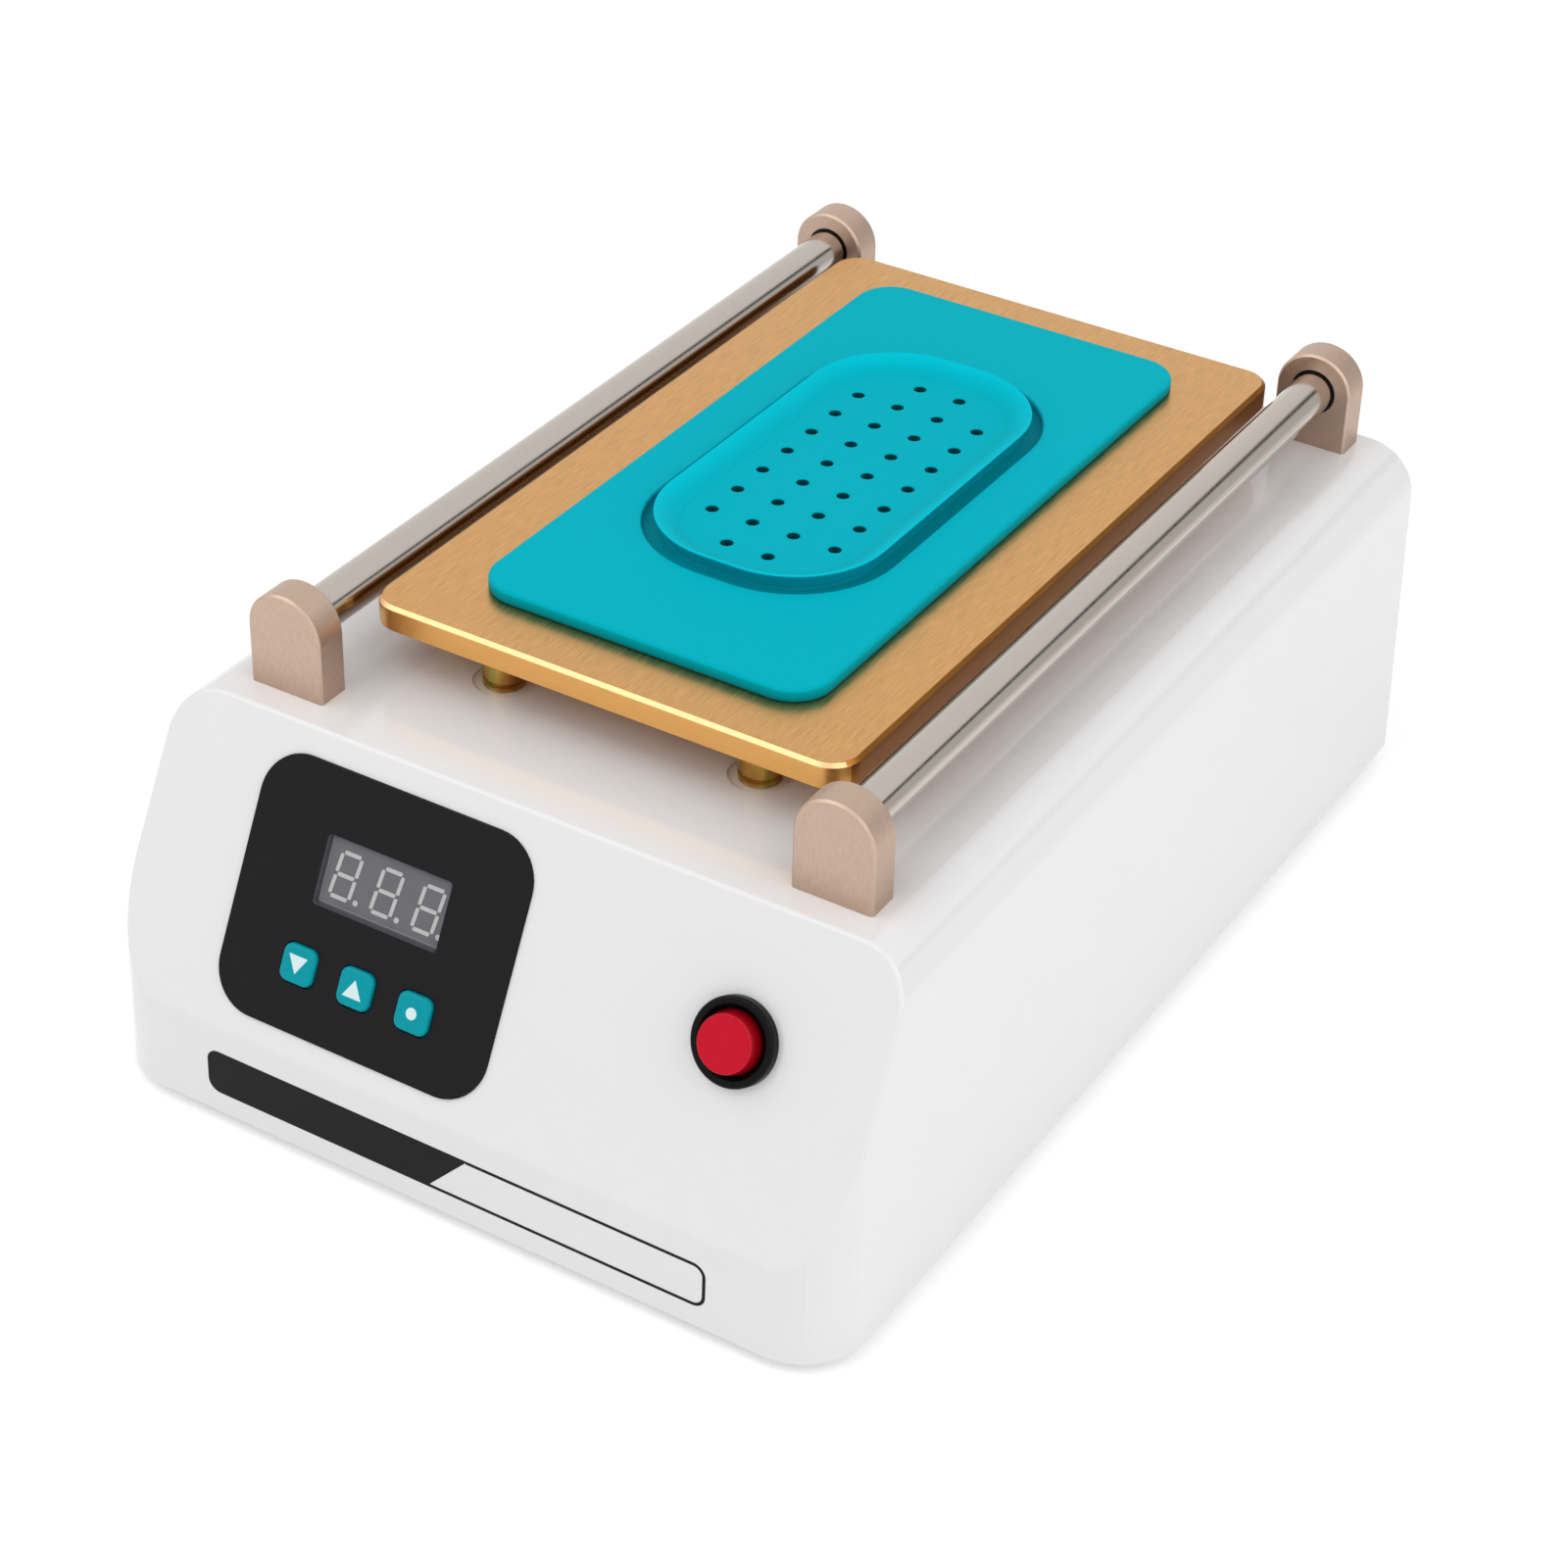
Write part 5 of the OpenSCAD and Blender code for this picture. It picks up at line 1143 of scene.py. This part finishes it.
class SEPARATOR_OT_housing(bpy.types.Operator):
    """Dress the moulded housing"""
    bl_idname = "separator.housing"
    bl_label = "Housing"

    def execute(self, context):
        shell = bmesh.new()
        shell.from_mesh(frame["nodes"]["housing_shell"].data)
        bmesh.ops.remove_doubles(shell, verts=shell.verts, dist=WELD)
        # the outer form is the shell's hull; the shell keeps what lies deeper than this inside it
        shallow = 0.3 * MM
        form = outer_form(shell)
        skin = BVHTree.FromBMesh(form)
        outside = []
        for face in shell.faces:
            points = [v.co for v in face.verts] + [face.calc_center_median()]
            if all(skin.find_nearest(p)[3] < shallow for p in points):
                outside.append(face)
        bmesh.ops.delete(shell, geom=outside, context="FACES")
        rims = [tuple(v.co.copy() for v in e.verts) for e in shell.edges if len(e.link_faces) == 1]
        rounded_rim(form)
        pierce(form, rims)
        mesh = bpy.data.meshes.new("outer_form")
        form.to_mesh(mesh)
        form.free()
        shell.from_mesh(mesh)
        bmesh.ops.remove_doubles(shell, verts=shell.verts, dist=2 * WELD)
        bmesh.ops.recalc_face_normals(shell, faces=shell.faces)
        place("housing_shell.dressed", mesh_of(shell, "housing_shell.dressed", 30),
              "housing_shell", moulded_abs())
        return {"FINISHED"}


class SEPARATOR_OT_base(bpy.types.Operator):
    """Dress the base plate, the feet and their screws"""
    bl_idname = "separator.base"
    bl_label = "Base and feet"

    def execute(self, context):
        dress("base_plate", edge=0.15)
        dress("rubber_feet", edge=0.3, segments=3)
        fasteners("foot_screws", (0, 0, 1))
        fasteners("base_screws", (0, 0, 1))
        return {"FINISHED"}


class SEPARATOR_OT_posts(bpy.types.Operator):
    """Dress the posts, their bushes and their screws"""
    bl_idname = "separator.posts"
    bl_label = "Posts"

    def execute(self, context):
        for node in ("post_front_left", "post_front_right", "post_rear_left", "post_rear_right"):
            dress(node, edge=0.08)
        dress("roller_bushes", edge=0.1)
        fasteners("post_screws", (0, 0, 1))
        return {"FINISHED"}


class SEPARATOR_OT_rollers(bpy.types.Operator):
    """Dress the two rollers"""
    bl_idname = "separator.rollers"
    bl_label = "Rollers"

    def execute(self, context):
        # a bar of one thickness up to the sunk face of each bush, and a journal in each bush
        bar, journal, bevel, ease, free = 4.75, 4.2, 0.4, 0.05, 0.2
        front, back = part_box("post_front_left")[1].y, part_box("post_rear_left")[0].y
        for node in ("roller_left", "roller_right"):
            low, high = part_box(node)
            ends = [low.y / MM, front / MM - free, back / MM + free, high.y / MM]
            profile = [(journal - bevel, ends[0]), (journal, ends[0] + bevel), (journal, ends[1]),
                       (bar - ease, ends[1]), (bar, ends[1] + ease), (bar, ends[2] - ease),
                       (bar - ease, ends[2]), (journal, ends[2]), (journal, ends[3] - bevel),
                       (journal - bevel, ends[3])]
            middle = (low + high) / 2
            put = placing(Vector((middle.x, 0, middle.z)), ACROSS, UP, BACK)
            skin = turned(profile, put, 64)
            place(node + ".bar", joined(node + ".bar", [(skin, 0)]), node, ground_steel())
        return {"FINISHED"}


class SEPARATOR_OT_plate(bpy.types.Operator):
    """Dress the heating plate and its standoffs"""
    bl_idname = "separator.plate"
    bl_label = "Heating plate"

    def execute(self, context):
        def choose(face):
            """0 for the top, 1 for the front's bevel with its painted highlight, 2 for the front and
            underside, painted lighter as painted light, 3 for the sides, painted darker as painted
            shade.
            """
            if face.normal.z > 0.99 and face.center.z > PLATE_HIGH.z - 0.05 * MM:
                return 0
            if face.normal.y > -0.35 and face.normal.z > -0.9:
                return 3
            return 1 if face.normal.z > 0.3 else 2

        dress("heating_plate", edge=0.08, choose=choose,
              materials=[brushed_plate(), cut_and_highlight(), plate_edge(), plate_flank()])
        # standoffs: a bore for the screw, a groove near the foot, a stud into the plate
        standoff, stud, bore, bore_top, ease = 4.5, 2.0, 2.05, 7.0, 0.25
        groove, groove_low, groove_high, slant = 0.14, 1.55, 2.0, 0.1
        foot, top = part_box("plate_standoffs")
        tall = (PLATE_LOW.z - foot.z) / MM
        profile = [(bore, bore_top), (bore, 0.0), (standoff - ease, 0.0), (standoff, ease),
                   (standoff, groove_low), (standoff - groove, groove_low + slant),
                   (standoff - groove, groove_high - slant), (standoff, groove_high),
                   (standoff, tall - ease), (standoff - ease, tall),
                   (stud, tall), (stud, (top.z - foot.z) / MM)]
        parts = []
        for solid in islands("plate_standoffs"):
            x = (min(p.x for p in solid) + max(p.x for p in solid)) / 2
            y = (min(p.y for p in solid) + max(p.y for p in solid)) / 2
            put = placing(Vector((x, y, foot.z)), ACROSS, BACK, UP)
            parts.append((turned(profile, put), 0))
        place("plate_standoffs.turned", joined("plate_standoffs.turned", parts, 35),
              "plate_standoffs", passivated_zinc())
        fasteners("standoff_screws", (0, 0, 1))
        return {"FINISHED"}


class SEPARATOR_OT_mat(bpy.types.Operator):
    """Make the suction mat with its moat, lip and holes"""
    bl_idname = "separator.mat"
    bl_label = "Suction mat"

    def execute(self, context):
        wide, long, corner, thick, edge = 80.0, 163.0, 9.0, 3.0, look().mat_edge / MM
        moat_wide, moat_long, moat_corner, moat_floor = 57.0, 107.0, 24.3, 1.0
        lip_foot, lip_top, lip_inside, lip_high, field = 4.8, 2.5, 8.2, 5.6, 2.85
        # radii of the foot, of the moat's upper edge, its floor and the lip's root, and of the lip
        foot_round, edge_round, floor_round, root_round, lip_round = 0.4, 0.5, 0.6, 0.5, 0.28
        # how the lip's back flares and its inner face falls, and how far the flare ends below its top
        flare, hollow, shoulder = 1.7, 1.25, 0.3
        sides, well, rim, pitch = 24, 1.4, 0.2, 10.0
        middle = (MAT_LOW + MAT_HIGH) / 2
        base = Vector((middle.x, middle.y, MAT_LOW.z))
        put = placing(base, ACROSS, BACK, UP)

        def ring(size, inset, z):
            across, along, radius = size
            return [put(x, y, z) for x, y in
                    rounded(across - 2 * inset, along - 2 * inset, radius - inset, 12)]

        # outer side: a soft foot, then a rounding up to the top
        outer_side = arc((edge - foot_round, foot_round), foot_round, -90, 0, 3)
        outer_side += arc((0, thick - edge), edge, 0, 90, 6)
        rings = [ring((wide, long, corner), edge - x, z) for x, z in outer_side]
        # down into the moat, and up the back of the lip, which flares outwards
        profile = arc((-edge_round, thick - edge_round), edge_round, 90, 0, 4)
        profile += arc((floor_round, moat_floor + floor_round), floor_round, 180, 270, 4)
        profile += arc((lip_foot - root_round, moat_floor + root_round), root_round, -90, 0, 3)
        root = moat_floor + root_round
        rise = lip_high - shoulder - root
        for share in [k / 8 for k in range(1, 9)]:
            profile.append((lip_foot - (lip_foot - lip_top) * share ** flare, root + rise * share))
        profile += arc((lip_top + lip_round, lip_high - lip_round), lip_round, 180, 45, 5)
        # the hollow inner face down to the field
        start, top = profile[-1]
        for share in [k / 10 for k in range(1, 11)]:
            profile.append((start + (lip_inside - start) * share,
                            field + (top - field) * (1 - share) ** hollow))
        rings += [ring((moat_wide, moat_long, moat_corner), inset, z) for inset, z in profile]
        work = skinned(rings, capped=False)

        # rows of wells on a square grid, through the field and the foot
        rows = ((-1.5, 3), (-0.5, 4), (0.5, 4), (1.5, 3))
        spots = [(row * pitch, k * pitch) for row, count in rows for k in range(-count, count + 1)]
        for outline, height, radius in ((rings[-1], field, well + rim), (rings[0], 0.0, well)):
            border = [((p - base) / MM).xy for p in outline]
            level = placing(put(0, 0, height), ACROSS, BACK, UP)
            punched(work, border, spots, radius, sides, level)
        # the wells' walls get the silicone painted dark as painted shade
        dark = shaded_silicone()
        wells = grown(well_tree(), [put(x, y, field) for x, y in spots], dark,
                      radius=well * MM, rim=rim * MM, depth=field * MM, sides=sides)
        paint(wells, lambda face: 1)
        work.from_mesh(wells)
        bmesh.ops.remove_doubles(work, verts=work.verts, dist=0.005 * MM)
        bmesh.ops.recalc_face_normals(work, faces=work.faces)
        # the rims of the wells still get light, so they keep the mat's colour without the painted shade
        for face in work.faces:
            if face.calc_center_median().z > put(0, 0, field - rim).z:
                face.material_index = 0
        place("suction_mat", mesh_of(work, "suction_mat", 31), "silicone_mat",
              moulded_silicone(), dark)
        return {"FINISHED"}


class SEPARATOR_OT_heater(bpy.types.Operator):
    """Dress what hangs under the plate"""
    bl_idname = "separator.heater"
    bl_label = "Heater"

    def execute(self, context):
        for node in ("heater_pad", "insulation_board", "temperature_sensor", "thermal_fuse",
                     "vacuum_fitting", "hose_grommet", "lead_grommet"):
            dress(node, edge=0.15)
        fasteners("insulation_screws", (0, 0, 1))
        for node in ("vacuum_hose", "heater_leads"):
            mesh = mesh_of(merged(node), node + ".dressed", smooth=60)
            place(node + ".dressed", mesh, node, slot_material(slot_of(node)))
        return {"FINISHED"}


class SEPARATOR_OT_panel(bpy.types.Operator):
    """Dress the control panel, its display and its board"""
    bl_idname = "separator.panel"
    bl_label = "Control panel"

    def execute(self, context):
        dress("controller_board", edge=0.12)
        dress("tact_switches", edge=0.12)
        fasteners("board_screws", OUT_FACE)

        # film: black, with the cut edge of its window grey
        put = on_face("display_module")
        middle = put(0, 0)
        window_wide, window_long, slack = 30.2, 14.6, 0.1

        def choose(face):
            spot = (face.center - middle) / MM
            inside = (abs(spot.x) < window_wide / 2 + slack
                      and abs(spot.dot(UP_FACE)) < window_long / 2 + slack)
            return 1 if inside and face.normal.dot(OUT_FACE) < 0.9 else 0

        dress("control_panel", edge=0.12, choose=choose, materials=[printed_film(), film_edge()])

        # display: its case, whose left and lower border shows, the lens with its rim painted lighter as
        # a painted highlight, the digits
        low, face, step, border = -7.8, -0.6, 0.04, 0.3
        case_wide, case_long, case_corner, edge = 31.2, 15.6, 0.8, 0.15
        outline = rounded(case_wide, case_long, case_corner, 4)
        inner = rounded(case_wide - 2 * edge, case_long - 2 * edge, case_corner - edge, 4)
        case = skinned([[put(x, y, low) for x, y in outline],
                        [put(x, y, face - step - edge) for x, y in outline],
                        [put(x, y, face - step) for x, y in inner]])
        parts = [(case, 0)]
        right, top = case_wide / 2 - border, case_long / 2 - border
        rim_left, rim_bottom, rim, lens_out = -14.55, -6.65, 0.25, 0.02
        for number, left, bottom, high in (
                (2, rim_left, rim_bottom, face),
                (1, rim_left + rim, rim_bottom + rim, face + lens_out)):
            outline = [(left, bottom), (right, bottom), (right, top), (left, top)]
            parts.append((slab(outline, put, face - step, high), number))
        place("display_module.case", joined("display_module.case", parts), "display_module",
              display_case(), smoked_lens(), lens_rim())
        pitch, digits_right, digits_out = 10.15, 0.5, 0.08
        digits = grown(digit_tree(), [ACROSS * k * pitch * MM for k in (-1, 0, 1)],
                       unlit_segment(), bar_width=0.85 * MM, gap=0.3 * MM, digit_height=10.1 * MM,
                       slant=0.105)
        turn = Matrix((ACROSS, UP_FACE, OUT_FACE)).transposed().to_4x4()
        digits.transform(Matrix.Translation(put(digits_right, 0, face + digits_out)) @ turn)
        place("display_segments.bars", digits, "display_segments")
        return {"FINISHED"}


class SEPARATOR_OT_label(bpy.types.Operator):
    """Print the label on the front band"""
    bl_idname = "separator.label"
    bl_label = "Front label"

    def execute(self, context):
        half, low, high, line, corner = 60.6, 8.0, 18.6, 0.72, 2.9
        slant_low, slant_high, overlap = -5.2, 4.8, 0.4
        sunk, ink = -0.02, 0.05
        # the upright band below the sloped face: across, up it from the ground and out of it
        foot = Vector((0, SHELL_LOW.y - SHELL_LOW.z * DRAFT, 0))
        put = placing(foot, ACROSS, UP + BACK * DRAFT, -BACK)
        # left part: solid black with round corners and a slanted right end
        outline = [(slant_high, high)]
        outline += arc((-half + corner, high - corner), corner, 90, 180, 8)
        outline += arc((-half + corner, low + corner), corner, 180, 270, 8)
        outline += [(slant_low, low)]
        black = slab(outline, put, sunk, ink)
        # right part: a line round an empty field
        path = [(slant_low - overlap, low + line / 2)]
        inner = corner - line / 2
        path += arc((half - corner, low + corner), inner, -90, 0, 8)
        path += arc((half - corner, high - corner), inner, 0, 90, 8)
        path += [(slant_high - overlap, high - line / 2)]
        border = strip(path, line, put, sunk, ink)
        piece = linked("front_label", joined("front_label", [(black, 0), (border, 0)]))
        piece.data.materials.append(label_ink())
        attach(piece, "root")
        return {"FINISHED"}


class SEPARATOR_OT_keys(bpy.types.Operator):
    """Make the three keys with their printed marks"""
    bl_idname = "separator.keys"
    bl_label = "Keys"

    def execute(self, context):
        size, corner, top, edge, dome, ink = 8.0, 2.0, 1.6, 0.7, 0.1, 0.03
        stem, stem_low, flange, flange_low, flange_top = 1.6, -2.3, 10.0, -1.9, -0.9
        # printed marks: triangles that point down and up, and a dot
        wing, tip, dot = 2.3, 1.9, 1.25
        marks = {
            "key_down": [(-wing, tip), (0, -tip), (wing, tip)],
            "key_up": [(-wing, -tip), (wing, -tip), (0, tip)],
            "key_set": arc((0, 0), dot, 0, 345, 23),
        }
        # each ring of the key: its width, its corner radius and its height
        shapes = [(2 * stem, stem, stem_low), (2 * stem, stem, flange_low),
                  (flange, corner, flange_low), (flange, corner, flange_top),
                  (size, corner, flange_top)]
        shapes += [(size - 2 * inset, corner - inset, z) for inset, z in
                   arc((edge, top - dome - edge), edge, 180, 90, 6)]
        shapes.append((size - 4 * edge, corner - edge, top))
        for node, mark in marks.items():
            put = on_face(node)
            cap = skinned([[put(x, y, z) for x, y in rounded(wide, wide, radius)]
                           for wide, radius, z in shapes])
            printed = slab(mark, put, top - ink, top + ink)
            place(node + ".cap", joined(node + ".cap", [(cap, 0), (printed, 1)], 45), node,
                  key_silicone(), key_ink())
        return {"FINISHED"}


class SEPARATOR_OT_button(bpy.types.Operator):
    """Make the push button: its cap, its bezel and what holds it"""
    bl_idname = "separator.button"
    bl_label = "Push button"

    def execute(self, context):
        put = on_face("push_button")
        # cap: a collar that keeps it in, a tapered side, a soft rim and a fine step to its front
        collar, collar_low, collar_high = 7.05, -6.0, -1.3
        base, base_high, neck, top, rim, flat, step = 6.45, 1.5, 5.8, 5.4, 0.3, 0.1, 0.06
        profile = [(collar, collar_low), (collar, collar_high), (base, collar_high), (base, base_high)]
        profile += arc((neck - rim, top - rim), rim, 0, 90, 5)
        profile += [(neck - rim - flat, top), (neck - rim - flat - step, top - step)]
        mesh = joined("push_button.cap", [(turned(profile, put, 64), 0)], 30)
        edge = put(0, 0, top - rim).dot(OUT_FACE)
        # the front keeps the plain red, the side gets the red painted darker as painted shade
        paint(mesh, lambda face: 0 if face.center.dot(OUT_FACE) > edge else 1)
        place("push_button.cap", mesh, "push_button", cap_plastic(), cap_flank())
        # bezel: barrel, soft outer edge, opened mouth and the well that the cap sinks into
        radius, high, edge, mouth, lip = 8.9, 2.5, 0.7, 7.25, 6.75
        mouth_ease, mouth_drop, lip_drop = 0.3, 0.12, 0.7
        barrel, barrel_low, well, well_low, lip_low = 7.8, -18.0, 7.2, -9.0, -1.0
        profile = [(barrel, barrel_low), (barrel, 0.0), (radius, 0.0)]
        profile += arc((radius - edge, high - edge), edge, 0, 90, 6)
        profile += [(mouth + mouth_ease, high), (mouth, high - mouth_drop), (lip, high - lip_drop),
                    (lip, lip_low), (well, lip_low), (well, well_low)]
        place("button_bezel.ring", joined("button_bezel.ring", [(turned(profile, put, 64), 0)], 30),
              "button_bezel", black_nylon())
        dress("button_nut", edge=0.2)
        dress("button_terminals", edge=0.1)
        return {"FINISHED"}


class SEPARATOR_OT_back(bpy.types.Operator):
    """Dress the power inlet and the switch"""
    bl_idname = "separator.back"
    bl_label = "Inlet and switch"

    def execute(self, context):
        for node in ("inlet_socket", "switch_frame", "power_rocker"):
            dress(node, edge=0.25, segments=3)
        for node in ("inlet_pins", "switch_terminals"):
            dress(node, edge=0.12)
        fasteners("inlet_screws", (0, 1, DRAFT))
        return {"FINISHED"}


class SEPARATOR_OT_inside(bpy.types.Operator):
    """Dress the mains board and the pump"""
    bl_idname = "separator.inside"
    bl_label = "Inside"

    def execute(self, context):
        for node in ("power_board", "board_spacers", "transformer", "capacitors", "relay",
                     "heat_sink", "terminal_block", "pump_bracket", "pump_motor", "pump_head"):
            dress(node, edge=0.15)
        for node in ("spacer_screws", "bracket_screws"):
            fasteners(node, (0, 0, 1))
        fasteners("pump_screws", (0, 1, 0))
        return {"FINISHED"}


class SEPARATOR_OT_stage(bpy.types.Operator):
    """Set up the camera, the floor, the card and the light"""
    bl_idname = "separator.stage"
    bl_label = "Stage"

    def execute(self, context):
        context.scene.view_settings.view_transform = "Standard"
        set_camera()
        lay_floor()
        stand_card()
        light_room()
        return {"FINISHED"}


class SEPARATOR_PT_sidebar(bpy.types.Panel):
    """The separator's sizes, colours and pieces in the sidebar"""
    bl_idname = "SEPARATOR_PT_sidebar"
    bl_label = "Separator"
    bl_space_type = "VIEW_3D"
    bl_region_type = "UI"
    bl_category = "Separator"

    def draw(self, context):
        for name in SeparatorLook.__annotations__:
            self.layout.prop(context.scene.separator_look, name)
        for step in STEPS:
            self.layout.operator(step.bl_idname)


STEPS = (SEPARATOR_OT_stage, SEPARATOR_OT_housing, SEPARATOR_OT_base, SEPARATOR_OT_posts,
         SEPARATOR_OT_rollers, SEPARATOR_OT_plate, SEPARATOR_OT_mat, SEPARATOR_OT_heater,
         SEPARATOR_OT_panel, SEPARATOR_OT_label, SEPARATOR_OT_keys, SEPARATOR_OT_button,
         SEPARATOR_OT_back, SEPARATOR_OT_inside)
CLASSES = (SeparatorLook, *STEPS, SEPARATOR_PT_sidebar)


def register():
    for cls in CLASSES:
        bpy.utils.register_class(cls)
    bpy.types.Scene.separator_look = bpy.props.PointerProperty(type=SeparatorLook)


def unregister():
    del bpy.types.Scene.separator_look
    for cls in reversed(CLASSES):
        bpy.utils.unregister_class(cls)


def main():
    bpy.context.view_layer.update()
    register()
    for step in STEPS:
        group, name = step.bl_idname.split(".")
        getattr(getattr(bpy.ops, group), name)()


if __name__ == "__main__":
    main()
